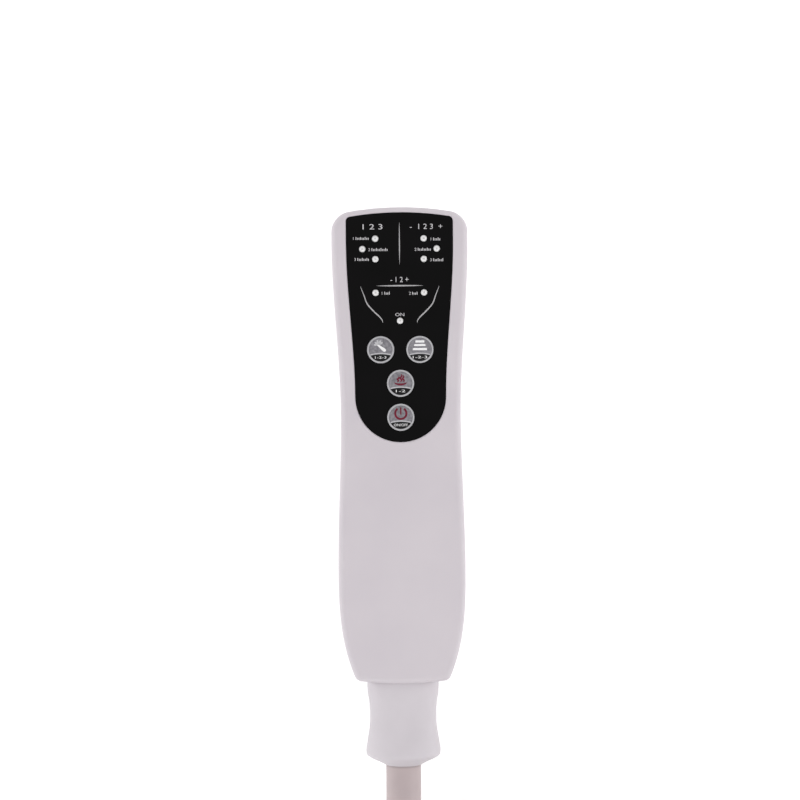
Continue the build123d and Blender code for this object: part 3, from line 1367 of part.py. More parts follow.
write("hose_tie", hose_tie())
write("hose_connector", hose_connector())
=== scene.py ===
import math

import bmesh
import bpy
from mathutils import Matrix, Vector


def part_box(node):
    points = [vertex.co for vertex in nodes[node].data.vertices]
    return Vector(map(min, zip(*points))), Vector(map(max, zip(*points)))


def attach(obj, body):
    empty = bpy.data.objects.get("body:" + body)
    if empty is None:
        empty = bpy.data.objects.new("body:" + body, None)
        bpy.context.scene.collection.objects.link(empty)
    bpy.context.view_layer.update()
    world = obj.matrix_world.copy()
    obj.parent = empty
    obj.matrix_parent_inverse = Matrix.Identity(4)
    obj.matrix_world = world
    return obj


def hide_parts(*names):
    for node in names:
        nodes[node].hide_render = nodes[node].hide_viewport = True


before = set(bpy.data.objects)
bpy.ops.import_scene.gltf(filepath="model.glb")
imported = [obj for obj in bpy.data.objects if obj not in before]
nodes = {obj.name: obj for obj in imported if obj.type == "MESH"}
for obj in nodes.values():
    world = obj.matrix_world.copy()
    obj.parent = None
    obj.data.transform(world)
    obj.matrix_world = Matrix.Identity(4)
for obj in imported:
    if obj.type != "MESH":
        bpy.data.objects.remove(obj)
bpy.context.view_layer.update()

# The case is two shells moulded in ABS with a fine spark-eroded satin skin. They close on a lip round the
# middle, and the front one carries the panel's recess. Both are CAD nodes and only get their plastic here.
MM = 0.001
MOULD_GRAIN = 0.6 * MM
MOULD_FLOW = 30 * MM


def linear(code):
    """An sRGB hex colour as linear red, green, blue and alpha."""
    channels = [int(code[place : place + 2], 16) / 255 for place in (0, 2, 4)]
    return tuple(c / 12.92 if c <= 0.04045 else ((c + 0.055) / 1.055) ** 2.4 for c in channels) + (1.0,)


def add(tree, kind, inputs=None, **settings):
    """A node with its settings. An input takes a value, an output to link, or a node for its first output."""
    node = tree.nodes.new(kind)
    for name, value in settings.items():
        setattr(node, name, value)
    for socket, value in (inputs or {}).items():
        if isinstance(value, bpy.types.Node):
            tree.links.new(value.outputs[0], node.inputs[socket])
        elif isinstance(value, bpy.types.NodeSocket):
            tree.links.new(value, node.inputs[socket])
        else:
            node.inputs[socket].default_value = value
    return node


def finish_of(name, **values):
    """A new material with one Principled shader that has the given plain values, and its node tree."""
    material = bpy.data.materials.new(name)
    material.use_nodes = True
    tree = material.node_tree
    tree.nodes.clear()
    plain = {key.replace("_", " "): value for key, value in values.items()}
    shader = add(tree, "ShaderNodeBsdfPrincipled", plain)
    add(tree, "ShaderNodeOutputMaterial", {"Surface": shader})
    return material, tree, shader


def object_place(tree, stretch=(1.0, 1.0, 1.0)):
    """Object coordinates, stretched along the piece's own axes."""
    place = add(tree, "ShaderNodeTexCoord").outputs["Object"]
    return add(tree, "ShaderNodeMapping", {"Vector": place, "Scale": stretch})


def tint(tree, shader, source, low, high, low_at=0.3, high_at=0.7):
    """Colours a shader with a ramp between two sRGB tints along a pattern."""
    ramp = add(tree, "ShaderNodeValToRGB", {"Fac": source})
    ramp.color_ramp.elements[0].position = low_at
    ramp.color_ramp.elements[1].position = high_at
    ramp.color_ramp.elements[0].color = linear(low)
    ramp.color_ramp.elements[1].color = linear(high)
    tree.links.new(ramp.outputs["Color"], shader.inputs["Base Color"])


def mottle(tree, shader, place, light, dark, size):
    """Colours a shader with two close tints in soft patches of a real size in metres."""
    noise = add(tree, "ShaderNodeTexNoise", {"Vector": place, "Scale": 1 / size, "Detail": 3.0})
    tint(tree, shader, noise.outputs["Fac"], dark, light)
    return noise.outputs["Fac"]


def uneven_gloss(tree, shader, source, low, high):
    """Lets the roughness vary between two values with a pattern."""
    span = add(tree, "ShaderNodeMapRange", {"Value": source, "To Min": low, "To Max": high})
    tree.links.new(span.outputs["Result"], shader.inputs["Roughness"])


def relief(tree, shader, source, depth, strength=0.3):
    """Raises a pattern by a real depth in metres."""
    bump = add(tree, "ShaderNodeBump", {"Height": source, "Strength": strength, "Distance": depth})
    tree.links.new(bump.outputs["Normal"], shader.inputs["Normal"])


def grain(tree, shader, place, size, depth, strength=0.3):
    """A fine moulded or eroded grain of a real size and depth in metres."""
    noise = add(tree, "ShaderNodeTexNoise", {"Vector": place, "Scale": 1 / size, "Detail": 2.0})
    relief(tree, shader, noise.outputs["Fac"], depth, strength)


def coat(material, *names):
    """Gives CAD nodes a finish."""
    for name in names:
        nodes[name].data.materials.clear()
        nodes[name].data.materials.append(material)


# Injection-moulded ABS, pale lilac grey. The eroded grain is 0.1 mm on the real one and drawn at 0.6 mm.
moulded_abs, tree, shader = finish_of("moulded_abs", IOR=1.54)
place = object_place(tree)
flow = mottle(tree, shader, place, "D0C9CE", "CBC4CA", MOULD_FLOW)
uneven_gloss(tree, shader, flow, 0.34, 0.42)
grain(tree, shader, place, MOULD_GRAIN, 0.02 * MM)
coat(moulded_abs, "rear_cover", "front_cover")


# The power inlet is a barrel socket moulded in black nylon with a 2 mm pin, held in the back shell's head
# end. The same nylon makes the pump's end cap and housing, the bobbins and the switches' plungers.
def moulded_plastic(name, light, dark, low, high, size=4 * MM, ior=1.52):
    """Moulded plastic with a soft flow pattern and a fine satin grain."""
    material, tree, shader = finish_of(name, IOR=ior)
    place = object_place(tree)
    flow = mottle(tree, shader, place, light, dark, size)
    uneven_gloss(tree, shader, flow, low, high)
    grain(tree, shader, place, 0.3 * MM, 0.01 * MM)
    return material


black_nylon = moulded_plastic("black_nylon", "1C1B1D", "131214", 0.42, 0.55)
coat(black_nylon, "dc_socket", "motor_end_cap", "crank_housing", "valve_bobbins")


# The air pump's motor is a drawn steel can with two ferrite arcs, a wound armature of stacked laminations on
# a ground shaft, and sintered bronze bushes. The can and the shaft show fine lines round their axis.
def worked_metal(name, light, dark, low, high, lines, size=2 * MM):
    """Bright metal whose turned, drawn or ground lines are stretched by the given factors."""
    material, tree, shader = finish_of(name, Metallic=1.0)
    place = object_place(tree, lines)
    flow = mottle(tree, shader, place, light, dark, size)
    uneven_gloss(tree, shader, flow, low, high)
    relief(tree, shader, flow, 0.01 * MM, 0.2)
    return material


drawn_steel = worked_metal("nickel_plated_steel", "B4B2AE", "A19F9B", 0.22, 0.38, (0.15, 6.0, 0.15))
coat(drawn_steel, "motor_can", "valve_frames")
ground_steel = worked_metal("ground_steel", "C2C2C4", "ADADB0", 0.16, 0.28, (0.3, 9.0, 0.3))
coat(ground_steel, "motor_shaft", "left_valve_plunger", "right_valve_plunger")

# The armature is a stack of steel sheets, 0.5 mm thick on the real one and drawn at 2 mm. At scale 1 a wave
# pattern repeats every 0.32 m.
WAVE_PERIOD = 0.32
DRAWN_SHEET = 2 * MM
laminations, tree, shader = finish_of("armature_laminations", Metallic=1.0)
place = object_place(tree)
stack = add(
    tree,
    "ShaderNodeTexWave",
    {"Vector": place, "Scale": WAVE_PERIOD / DRAWN_SHEET, "Distortion": 0.2},
    bands_direction="Y",
).outputs["Fac"]
tint(tree, shader, stack, "6E6A66", "9C9994")
uneven_gloss(tree, shader, stack, 0.5, 0.35)
relief(tree, shader, stack, 0.05 * MM, 0.5)
coat(laminations, "motor_armature")

# Sintered bronze shows its pores as dark specks, hundredths of a millimetre wide on the real one and drawn
# four to a millimetre.
PORES = 4 / MM
sintered_bronze, tree, shader = finish_of("sintered_bronze", Metallic=0.9)
place = object_place(tree)
pores = add(tree, "ShaderNodeTexVoronoi", {"Vector": place, "Scale": PORES})
tint(tree, shader, pores.outputs["Distance"], "6B5232", "A2814F", 0.05, 0.5)
uneven_gloss(tree, shader, pores.outputs["Distance"], 0.7, 0.45)
relief(tree, shader, pores.outputs["Distance"], 0.03 * MM)
coat(sintered_bronze, "motor_bushes")

ferrite = moulded_plastic("pressed_ferrite", "3A3837", "2A2928", 0.6, 0.8, 1.5 * MM)
coat(ferrite, "motor_magnets")

# The pump's moving parts and its head are white acetal and nylon, held by four long zinc-plated screws. The
# diaphragm is moulded black rubber. A foam sleeve with open cells about a millimetre wide keeps the pump's
# hum from the case.
FOAM_CELLS = 0.9 / MM
white_nylon = moulded_plastic("white_nylon", "E4E1DA", "DAD7CF", 0.38, 0.5)
coat(white_nylon, "pump_eccentric", "wobble_plate", "valve_plate", "pump_head", "air_manifold")
coat(white_nylon, "led_spacers", "board_connectors")

moulded_rubber = moulded_plastic("moulded_rubber", "232223", "1A191A", 0.62, 0.78, 1.2 * MM, 1.5)
coat(moulded_rubber, "pump_diaphragm")

zinc_steel = worked_metal("zinc_plated_steel", "BDBEC2", "A6A7AC", 0.26, 0.42, (1.0, 1.0, 1.0), 0.8 * MM)
coat(zinc_steel, "pump_screws", "board_screws", "case_screws")
coat(zinc_steel, "left_valve_spring", "right_valve_spring")

open_foam, tree, shader = finish_of("open_cell_foam", IOR=1.45)
place = object_place(tree)
cells = add(
    tree, "ShaderNodeTexVoronoi", {"Vector": place, "Scale": FOAM_CELLS}, feature="DISTANCE_TO_EDGE"
)
tint(tree, shader, cells.outputs["Distance"], "4B4A4C", "2C2B2D", 0.02, 0.3)
uneven_gloss(tree, shader, cells.outputs["Distance"], 0.95, 0.8)
relief(tree, shader, cells.outputs["Distance"], 0.3 * MM, 0.8)
coat(open_foam, "pump_sleeve")

# Two solenoid valves share out the air. Each winding is enamelled copper wire, laid turn by turn on its
# bobbin, 0.1 mm thick on the real one and drawn at 0.4 mm. Silicone tubes with a milky, slightly waxy look
# carry the air to the block and on to the hose.
DRAWN_WIRE = 0.4 * MM
copper_winding, tree, shader = finish_of(
    "enamelled_copper", Metallic=1.0, Coat_Weight=0.6, Coat_Roughness=0.15
)
place = object_place(tree)
turns = add(
    tree,
    "ShaderNodeTexWave",
    {"Vector": place, "Scale": WAVE_PERIOD / DRAWN_WIRE, "Distortion": 0.3},
    bands_direction="Z",
).outputs["Fac"]
tint(tree, shader, turns, "6E2E14", "B0603A")
uneven_gloss(tree, shader, turns, 0.5, 0.3)
relief(tree, shader, turns, 0.1 * MM, 0.6)
coat(copper_winding, "valve_coils")

silicone, tree, shader = finish_of("milky_silicone", IOR=1.41, Transmission_Weight=0.25)
place = object_place(tree)
flow = mottle(tree, shader, place, "E3E2DF", "D6D5D1", 5 * MM)
uneven_gloss(tree, shader, flow, 0.35, 0.5)
grain(tree, shader, place, 0.8 * MM, 0.01 * MM)
coat(silicone, "pump_tube", "air_tubes")

# The leads are stranded wire in soft PVC: a red pair for the motor, and a blue pair for the heaters in the
# wraps.
coat(moulded_plastic("red_wire_pvc", "A3161B", "8E1418", 0.35, 0.5, 2 * MM, 1.53), "motor_leads")
coat(moulded_plastic("blue_wire_pvc", "23458F", "1B3880", 0.35, 0.5, 2 * MM, 1.53), "heater_leads")

# The main board is glass epoxy under green solder mask, whose copper tracks stand a few hundredths proud,
# about 3.5 mm apart. It carries the controller, two capacitors, the pressure sensor and the four switches.
TRACK_SPACING = 3.5 * MM
MASK_CLOUDS = 0.3 / MM
solder_mask, tree, shader = finish_of("green_solder_mask", IOR=1.5)
place = object_place(tree)
distances = []
for feature in ("F1", "F2"):
    cells = add(
        tree,
        "ShaderNodeTexVoronoi",
        {"Vector": place, "Scale": 1 / TRACK_SPACING, "Randomness": 0.5},
        voronoi_dimensions="2D",
        distance="CHEBYCHEV",
        feature=feature,
    )
    distances.append(cells.outputs["Distance"])
from_track = add(tree, "ShaderNodeMath", {0: distances[1], 1: distances[0]}, operation="SUBTRACT")
tracks = add(
    tree,
    "ShaderNodeMapRange",
    {"Value": from_track, "From Min": 0.07, "From Max": 0.13, "To Min": 1.0, "To Max": 0.0},
)
tint(tree, shader, tracks.outputs["Result"], "0E4A2A", "1F6B3F", 0.2, 0.8)
noise = add(tree, "ShaderNodeTexNoise", {"Vector": place, "Scale": MASK_CLOUDS})
uneven_gloss(tree, shader, noise.outputs["Fac"], 0.25, 0.35)
relief(tree, shader, tracks.outputs["Result"], 0.04 * MM, 0.6)
coat(solder_mask, "main_board")

BUTTONS = ("mode", "pressure", "heat", "power")
chip_epoxy = moulded_plastic("chip_epoxy", "202022", "19191B", 0.55, 0.7, 1 * MM)
coat(chip_epoxy, "controller_chip", "pressure_sensor", "switch_bodies")
drawn_aluminium = worked_metal("drawn_aluminium", "C9CACC", "B9BABD", 0.25, 0.36, (4.0, 4.0, 0.3))
coat(drawn_aluminium, "board_capacitors")
coat(black_nylon, *(f"{name}_switch_plunger" for name in BUTTONS))

# The control panel is a cast acrylic plate printed black on its back and glued in the front shell's recess.
# Its face is flat and glossy, with the faintest long ripple.
acrylic, tree, shader = finish_of("black_backed_acrylic", IOR=1.49, Specular_IOR_Level=0.2)
place = object_place(tree)
flow = mottle(tree, shader, place, "080708", "050505", 20 * MM)
uneven_gloss(tree, shader, flow, 0.08, 0.14)
grain(tree, shader, place, 4 * MM, 0.01 * MM, 0.15)
coat(acrylic, "control_panel")
panel_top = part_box("control_panel")[1].z

# The print on the panel is screen-printed ink, a few hundredths of a millimetre thick. Two long tapered rules
# and two curved ones part it, and plain numbers and signs head the three groups of lights.
INK_THICKNESS = 0.04 * MM
INK_SINK = 0.01 * MM
TITLE_HEIGHT = 2.3
RULE_INK_WIDTH = 0.56
CURVE_STEPS = 8


def screen_ink(name, light, dark, low, high, **values):
    """Printed ink with the slight cloudiness and the fine tooth that a screen leaves."""
    material, tree, shader = finish_of(name, IOR=1.5, **values)
    place = object_place(tree)
    flow = mottle(tree, shader, place, light, dark, 1.2 * MM)
    uneven_gloss(tree, shader, flow, low, high)
    grain(tree, shader, place, 0.3 * MM, 0.004 * MM)
    return material


def mesh_piece(name, bm, material):
    """A finished mesh object at the origin, from a bmesh in metres."""
    mesh = bpy.data.meshes.new(name)
    bm.to_mesh(mesh)
    bm.free()
    mesh.materials.append(material)
    piece = bpy.data.objects.new(name, mesh)
    bpy.context.scene.collection.objects.link(piece)
    return piece


def smooth_line(points):
    """Points along a smooth curve through the given points."""
    if len(points) == 2:
        return [points[0].lerp(points[1], step / CURVE_STEPS) for step in range(CURVE_STEPS + 1)]
    line = []
    ends = [2 * points[0] - points[1], *points, 2 * points[-1] - points[-2]]
    for a, b, c, d in zip(ends, ends[1:], ends[2:], ends[3:]):
        for step in range(CURVE_STEPS):
            t = step / CURVE_STEPS
            bend = (2 * a - 5 * b + 4 * c - d) * t**2 + (3 * b - a - 3 * c + d) * t**3
            line.append(0.5 * (2 * b + (c - a) * t + bend))
    line.append(points[-1])
    return line


def ink_area(bm, outline, level, middle=(0.0, 0.0)):
    """A thin flat area of ink with the given outline, in millimetres round a middle point."""
    rings = []
    for height in (level - INK_SINK, level + INK_THICKNESS):
        rings.append([bm.verts.new(((x + middle[0]) * MM, (y + middle[1]) * MM, height)) for x, y in outline])
    low, high = rings
    count = len(outline)
    for here in range(count):
        there = (here + 1) % count
        bm.faces.new((low[here], low[there], high[there], high[here]))
    bm.faces.new(high)
    bm.faces.new(reversed(low))


def stroke(bm, points, width, tip, level, middle=(0.0, 0.0)):
    """A stroke of ink along a smooth curve, as wide as width in its middle and as tip at its ends."""
    line = smooth_line([Vector(point) for point in points])
    last = len(line) - 1
    rows = []
    for index, spot in enumerate(line):
        ahead = line[min(index + 1, last)] - line[max(index - 1, 0)]
        across = Vector((-ahead.y, ahead.x)).normalized()
        share = math.sin(math.pi * index / last) ** 0.7
        side = across * (tip + (width - tip) * share) / 2
        corners = ((side, INK_THICKNESS), (-side, INK_THICKNESS), (-side, -INK_SINK), (side, -INK_SINK))
        centre = spot + Vector(middle)
        rows.append([bm.verts.new((*((centre + out) * MM), level + height)) for out, height in corners])
    for near, far in zip(rows, rows[1:]):
        for one, two in zip((0, 1, 2, 3), (1, 2, 3, 0)):
            bm.faces.new((near[one], near[two], far[two], far[one]))
    bm.faces.new(reversed(rows[0]))
    bm.faces.new(rows[-1])


def lettering(bm, words, middle, height, level, width=None):
    """Plain figures as thin ink: centred, of a given height and, if asked, width, in millimetres."""
    curve = bpy.data.curves.new("figures", "FONT")
    curve.body = words
    curve.align_x = "CENTER"
    curve.extrude = 0.5
    curve.resolution_u = 3
    holder = bpy.data.objects.new("figures", curve)
    bpy.context.scene.collection.objects.link(holder)
    mesh = bpy.data.meshes.new_from_object(holder.evaluated_get(bpy.context.evaluated_depsgraph_get()))
    bpy.data.objects.remove(holder)
    xs = [v.co.x for v in mesh.vertices]
    ys = [v.co.y for v in mesh.vertices]
    tall = height / (max(ys) - min(ys))
    wide = width / (max(xs) - min(xs)) if width else tall
    thick = INK_THICKNESS + INK_SINK
    for v in mesh.vertices:
        x = (v.co.x - (max(xs) + min(xs)) / 2) * wide + middle[0]
        y = (v.co.y - (max(ys) + min(ys)) / 2) * tall + middle[1]
        v.co = (x * MM, y * MM, level - INK_SINK + (v.co.z + 0.5) * thick)
    bm.from_mesh(mesh)
    bpy.data.meshes.remove(mesh)


grey_ink = screen_ink("grey_screen_ink", "B4B2B4", "A6A4A6", 0.45, 0.6)
panel_rules = bmesh.new()
stroke(panel_rules, ((0, 96.85), (0, 78.65)), 0.44, 0.04, panel_top)
stroke(panel_rules, ((-10.1, 69.35), (10.1, 69.35)), 0.6, 0.04, panel_top)
for side in (-1, 1):
    curve = [(17.1, 69.2), (15.6, 65.4), (14.1, 61.5), (11.1, 58.1), (9.2, 56.3), (7.8, 54.6), (7.4, 53.3)]
    stroke(panel_rules, [(side * x, y) for x, y in curve], RULE_INK_WIDTH, 0.08, panel_top)
rules_piece = mesh_piece("panel_rules", panel_rules, grey_ink)
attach(rules_piece, "casing")

white_ink = screen_ink("white_screen_ink", "CFCDCF", "BDBABD", 0.45, 0.6)
panel_print = bmesh.new()
lettering(panel_print, "1 2 3", (-11.6, 94.95), TITLE_HEIGHT, panel_top, 8.6)
lettering(panel_print, "-  1 2 3  +", (11.6, 94.95), TITLE_HEIGHT, panel_top, 14.1)
lettering(panel_print, "- 1 2 +", (-0.1, 72.05), TITLE_HEIGHT, panel_top, 7.8)
lettering(panel_print, "ON", (-0.1, 56.85), 1.4, panel_top, 3.9)
print_piece = mesh_piece("panel_print", panel_print, white_ink)
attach(print_piece, "casing")

# Beside each light stands a number with a short scale of printed ticks, every third one longer. Geometry
# Nodes lay each scale out from its width, and all of them are one coat of the same white ink.
TICK_PITCH = 0.66 * MM
TICK_WIDTH = 0.34 * MM
SCALE_HEIGHT = 1.25 * MM
FIGURE_INSET = 0.45
FIGURE_TO_TICKS = 1.15 * MM
FIGURE_ROOM = 1.5 * MM
SHORT_TICK_CUT = 0.3
SCALES = (
    ("1", -16.7, 89.95, 7.4),
    ("2", -9.4, 85.05, 8.3),
    ("3", -16.4, 80.85, 6.6),
    ("1", 15.6, 89.45, 4.8),
    ("2", 9.9, 85.05, 6.8),
    ("3", 16.05, 80.45, 5.8),
    ("1", -6.3, 66.15, 3.7),
    ("2", 5.9, 66.05, 4.0),
)


def rule_tree(name, **sizes):
    """A Geometry Nodes tree with a named input for each size, and the outputs of those inputs."""
    tree = bpy.data.node_groups.new(name, "GeometryNodeTree")
    tree.is_modifier = True
    tree.interface.new_socket("Geometry", in_out="OUTPUT", socket_type="NodeSocketGeometry")
    for size, value in sizes.items():
        kind = "NodeSocketInt" if isinstance(value, int) else "NodeSocketFloat"
        socket = tree.interface.new_socket(size.replace("_", " "), in_out="INPUT", socket_type=kind)
        socket.default_value = value
    return tree, add(tree, "NodeGroupInput").outputs


def close_tree(tree, shape, material):
    """Ends a tree in Realize Instances and Set Material."""
    real = add(tree, "GeometryNodeRealizeInstances", {"Geometry": shape})
    coated = add(tree, "GeometryNodeSetMaterial", {"Geometry": real, "Material": material})
    add(tree, "NodeGroupOutput", {"Geometry": coated})


def grow(name, tree, **sizes):
    """The plain mesh object that a tree makes with the given sizes."""
    piece = bpy.data.objects.new(name, bpy.data.meshes.new(name))
    bpy.context.scene.collection.objects.link(piece)
    rule = piece.modifiers.new(name, "NODES")
    rule.node_group = tree
    for item in tree.interface.items_tree:
        size = item.name.replace(" ", "_")
        if item.in_out == "INPUT" and size in sizes:
            rule[item.identifier] = sizes[size]
    mesh = bpy.data.meshes.new_from_object(piece.evaluated_get(bpy.context.evaluated_depsgraph_get()))
    piece.modifiers.clear()
    piece.data = mesh
    bm = bmesh.new()
    bm.from_mesh(mesh)
    bmesh.ops.remove_doubles(bm, verts=bm.verts, dist=1e-6)
    bmesh.ops.recalc_face_normals(bm, faces=bm.faces)
    bm.to_mesh(mesh)
    bm.free()
    return piece


scale_tree, sizes = rule_tree(
    "printed_scale",
    Start_X=0.0,
    Foot_Y=0.0,
    Level=0.0,
    Count=8,
    Pitch=0.001,
    Tick_Width=0.0003,
    Height=0.001,
    Thick=0.0001,
)
step = add(scale_tree, "ShaderNodeCombineXYZ", {"X": sizes["Pitch"]})
first = add(
    scale_tree,
    "ShaderNodeCombineXYZ",
    {"X": sizes["Start X"], "Y": sizes["Foot Y"], "Z": sizes["Level"]},
)
row = add(
    scale_tree,
    "GeometryNodeMeshLine",
    {"Count": sizes["Count"], "Start Location": first, "Offset": step},
)
tick_size = add(
    scale_tree,
    "ShaderNodeCombineXYZ",
    {"X": sizes["Tick Width"], "Y": sizes["Height"], "Z": sizes["Thick"]},
)
tick = add(scale_tree, "GeometryNodeMeshCube", {"Size": tick_size})
half = add(scale_tree, "ShaderNodeMath", {0: sizes["Height"], 1: 0.5}, operation="MULTIPLY")
lift = add(scale_tree, "ShaderNodeCombineXYZ", {"Y": half})
stood = add(scale_tree, "GeometryNodeTransform", {"Geometry": tick, "Translation": lift})
place_in_row = add(scale_tree, "GeometryNodeInputIndex")
third = add(scale_tree, "ShaderNodeMath", {0: place_in_row, 1: 3}, operation="MODULO")
short = add(scale_tree, "ShaderNodeMath", {0: third, 1: 1}, operation="MINIMUM")
cut = add(scale_tree, "ShaderNodeMath", {0: short, 1: SHORT_TICK_CUT}, operation="MULTIPLY")
tall = add(scale_tree, "ShaderNodeMath", {0: 1.0, 1: cut}, operation="SUBTRACT")
tick_scale = add(scale_tree, "ShaderNodeCombineXYZ", {"X": 1.0, "Y": tall, "Z": 1.0})
ticks = add(
    scale_tree, "GeometryNodeInstanceOnPoints", {"Points": row, "Instance": stood, "Scale": tick_scale}
)
close_tree(scale_tree, ticks, white_ink)

scale_print = bmesh.new()
for figure, middle_x, middle_y, width in SCALES:
    figure_x = middle_x - width / 2 + FIGURE_INSET
    lettering(scale_print, figure, (figure_x, middle_y), SCALE_HEIGHT / MM, panel_top)
    room = width * MM - FIGURE_ROOM
    row_of_ticks = grow(
        "ticks",
        scale_tree,
        Start_X=figure_x * MM + FIGURE_TO_TICKS,
        Foot_Y=middle_y * MM - SCALE_HEIGHT / 2,
        Level=panel_top + (INK_THICKNESS - INK_SINK) / 2,
        Count=int(room / TICK_PITCH) + 1,
        Pitch=TICK_PITCH,
        Tick_Width=TICK_WIDTH,
        Height=SCALE_HEIGHT,
        Thick=INK_THICKNESS + INK_SINK,
    )
    scale_print.from_mesh(row_of_ticks.data)
    bpy.data.objects.remove(row_of_ticks)
scale_piece = mesh_piece("printed_scales", scale_print, white_ink)
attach(scale_piece, "casing")

# The lights are 3 mm diodes in milky epoxy. Their domes stand a little proud of the panel, and the chip
# inside shows through the top of each as a slightly darker spot. The gloss is faintly uneven, in clouds of
# two thirds of a millimetre.
LIGHTS = ("mode_leds", "pressure_leds", "heat_leds", "power_led")
EPOXY_CLOUDS = 1.5 / MM
dome_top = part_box("mode_leds")[1].z

milky_epoxy, tree, shader = finish_of("milky_epoxy", IOR=1.5, Transmission_Weight=0.1)
place = object_place(tree)
depth = add(tree, "ShaderNodeSeparateXYZ", {"Vector": place})
near_top = add(
    tree,
    "ShaderNodeMapRange",
    {"Value": depth.outputs["Z"], "From Min": dome_top - 0.12 * MM, "From Max": dome_top - 0.02 * MM},
)
tint(tree, shader, near_top.outputs["Result"], "F0EFEF", "C9C7C8", 0.2, 0.9)
noise = add(tree, "ShaderNodeTexNoise", {"Vector": place, "Scale": EPOXY_CLOUDS})
uneven_gloss(tree, shader, noise.outputs["Fac"], 0.2, 0.3)
relief(tree, shader, noise.outputs["Fac"], 0.005 * MM)
coat(milky_epoxy, *LIGHTS)

# Each button is a moulded cap with a printed metallic face inside a chromed ring. The ring has a fine turned
# satin. The grey face has the sparkle of metal flakes under a clear coat, hundredths of a millimetre wide on
# the real one and drawn six to a millimetre.
FLAKES = 6 / MM
FLAKE_CLOUDS = 0.9 / MM
chrome, tree, shader = finish_of("chromed_abs", Metallic=0.45, IOR=1.5)
place = object_place(tree)
flow = mottle(tree, shader, place, "D0CFD2", "C6C5C9", 0.6 * MM)
uneven_gloss(tree, shader, flow, 0.34, 0.44)
relief(tree, shader, flow, 0.004 * MM, 0.15)
flake_grey, tree, shader = finish_of(
    "metallic_grey_face", Metallic=0.35, Coat_Weight=0.3, Coat_Roughness=0.2
)
place = object_place(tree)
clouds = add(
    tree, "ShaderNodeTexNoise", {"Vector": place, "Scale": FLAKE_CLOUDS, "Detail": 3.0, "Roughness": 0.6}
)
tint(tree, shader, clouds.outputs["Fac"], "7C7A80", "A09EA4", 0.35, 0.65)
uneven_gloss(tree, shader, clouds.outputs["Fac"], 0.35, 0.5)
flakes = add(tree, "ShaderNodeTexVoronoi", {"Vector": place, "Scale": FLAKES})
relief(tree, shader, flakes.outputs["Distance"], 0.01 * MM)
coat(flake_grey, *(f"{name}_button_cap" for name in BUTTONS))
coat(chrome, *(f"{name}_button_ring" for name in BUTTONS))

# Each face carries a black window under a silver arc, with plain figures in it, and a sign above: a rod
# under a fan of strokes, three level bars, a steaming dish and the round switch sign. All are inks on the
# cap's top.
FLAT_RADIUS = 4.75
CAP_EDGE = 0.35
WINDOW_HALF_WIDTH = 4.32
WINDOW_RADIUS = 5.02
WINDOW_TOP = -1.92
WINDOW_DROP = 0.0305
ARC_GAP = 0.06
ARC_WIDTH = 0.5
COLUMN_COUNT = 32
FIGURE_HEIGHT = 1.1
WINDOW_FIGURES = (
    ("mode", "1-2-3", 4.9),
    ("pressure", "1-2-3", 6.2),
    ("heat", "1-2", 4.1),
    ("power", "ON/OFF", 6.0),
)
silver_ink = screen_ink("silver_screen_ink", "D2D1D4", "C2C1C5", 0.34, 0.46, Metallic=0.2)
black_ink = screen_ink("black_screen_ink", "0F0E10", "0A090A", 0.3, 0.4)
bright_ink = screen_ink("bright_white_ink", "F4F3F4", "E9E8E9", 0.4, 0.5)
red_ink = screen_ink("dark_red_ink", "7A1330", "5E0D26", 0.35, 0.5)


def round_points(radius, start, end, steps=24, middle=(0.0, 0.0)):
    """Points of a round arc in millimetres, between two angles in degrees."""
    angles = [math.radians(start + (end - start) * step / steps) for step in range(steps + 1)]
    return [(middle[0] + radius * math.cos(a), middle[1] + radius * math.sin(a)) for a in angles]


def face_piece(name, body, material, draw):
    """One colour of a button's print, drawn round the button's middle, which moves with the button."""
    low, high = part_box(f"{body}_button_cap")
    middle = ((low.x + high.x) / 2 / MM, (low.y + high.y) / 2 / MM)
    bm = bmesh.new()
    draw(bm, high.z, middle)
    piece = mesh_piece(name, bm, material)
    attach(piece, f"{body}_button")


def draped_area(bm, columns, level, middle):
    """A thin area of ink over the cap's flat top and rounded edge, given as columns of points going up."""
    sheets = []
    for side in (INK_THICKNESS, -INK_SINK):
        sheet = []
        for column in columns:
            falls = [min(max(math.hypot(x, y) - FLAT_RADIUS, 0.0), CAP_EDGE) for x, y in column]
            falls = [CAP_EDGE - math.sqrt(CAP_EDGE**2 - beyond**2) for beyond in falls]
            spots = [(x + middle[0], y + middle[1], fall) for (x, y), fall in zip(column, falls)]
            sheet.append([bm.verts.new((x * MM, y * MM, level + side - fall * MM)) for x, y, fall in spots])
        sheets.append(sheet)
    over, under = sheets
    wide, tall = len(columns) - 1, len(columns[0]) - 1
    for a in range(wide):
        for b in range(tall):
            quad = ((a, b), (a + 1, b), (a + 1, b + 1), (a, b + 1))
            bm.faces.new([over[i][j] for i, j in quad])
            bm.faces.new([under[i][j] for i, j in reversed(quad)])
    rim = [(a, 0) for a in range(wide)] + [(wide, b) for b in range(tall)]
    rim += [(a, tall) for a in range(wide, 0, -1)] + [(0, b) for b in range(tall, 0, -1)]
    for (a, b), (c, d) in zip(rim, rim[1:] + rim[:1]):
        bm.faces.new((over[a][b], under[a][b], under[c][d], over[c][d]))


def window_columns(half_width, low_edge, high_edge, rows=10):
    """Columns of points between two edges, each given as a height for a distance from the middle line."""
    columns = []
    for step in range(COLUMN_COUNT + 1):
        x = half_width * (2 * step / COLUMN_COUNT - 1)
        low, high = low_edge(x), high_edge(x)
        columns.append([(x, low + (high - low) * (row / rows) ** 1.5) for row in range(rows + 1)])
    return columns


def window_edge(x):
    """Height of the window's arched top edge."""
    return WINDOW_TOP - WINDOW_DROP * x**2


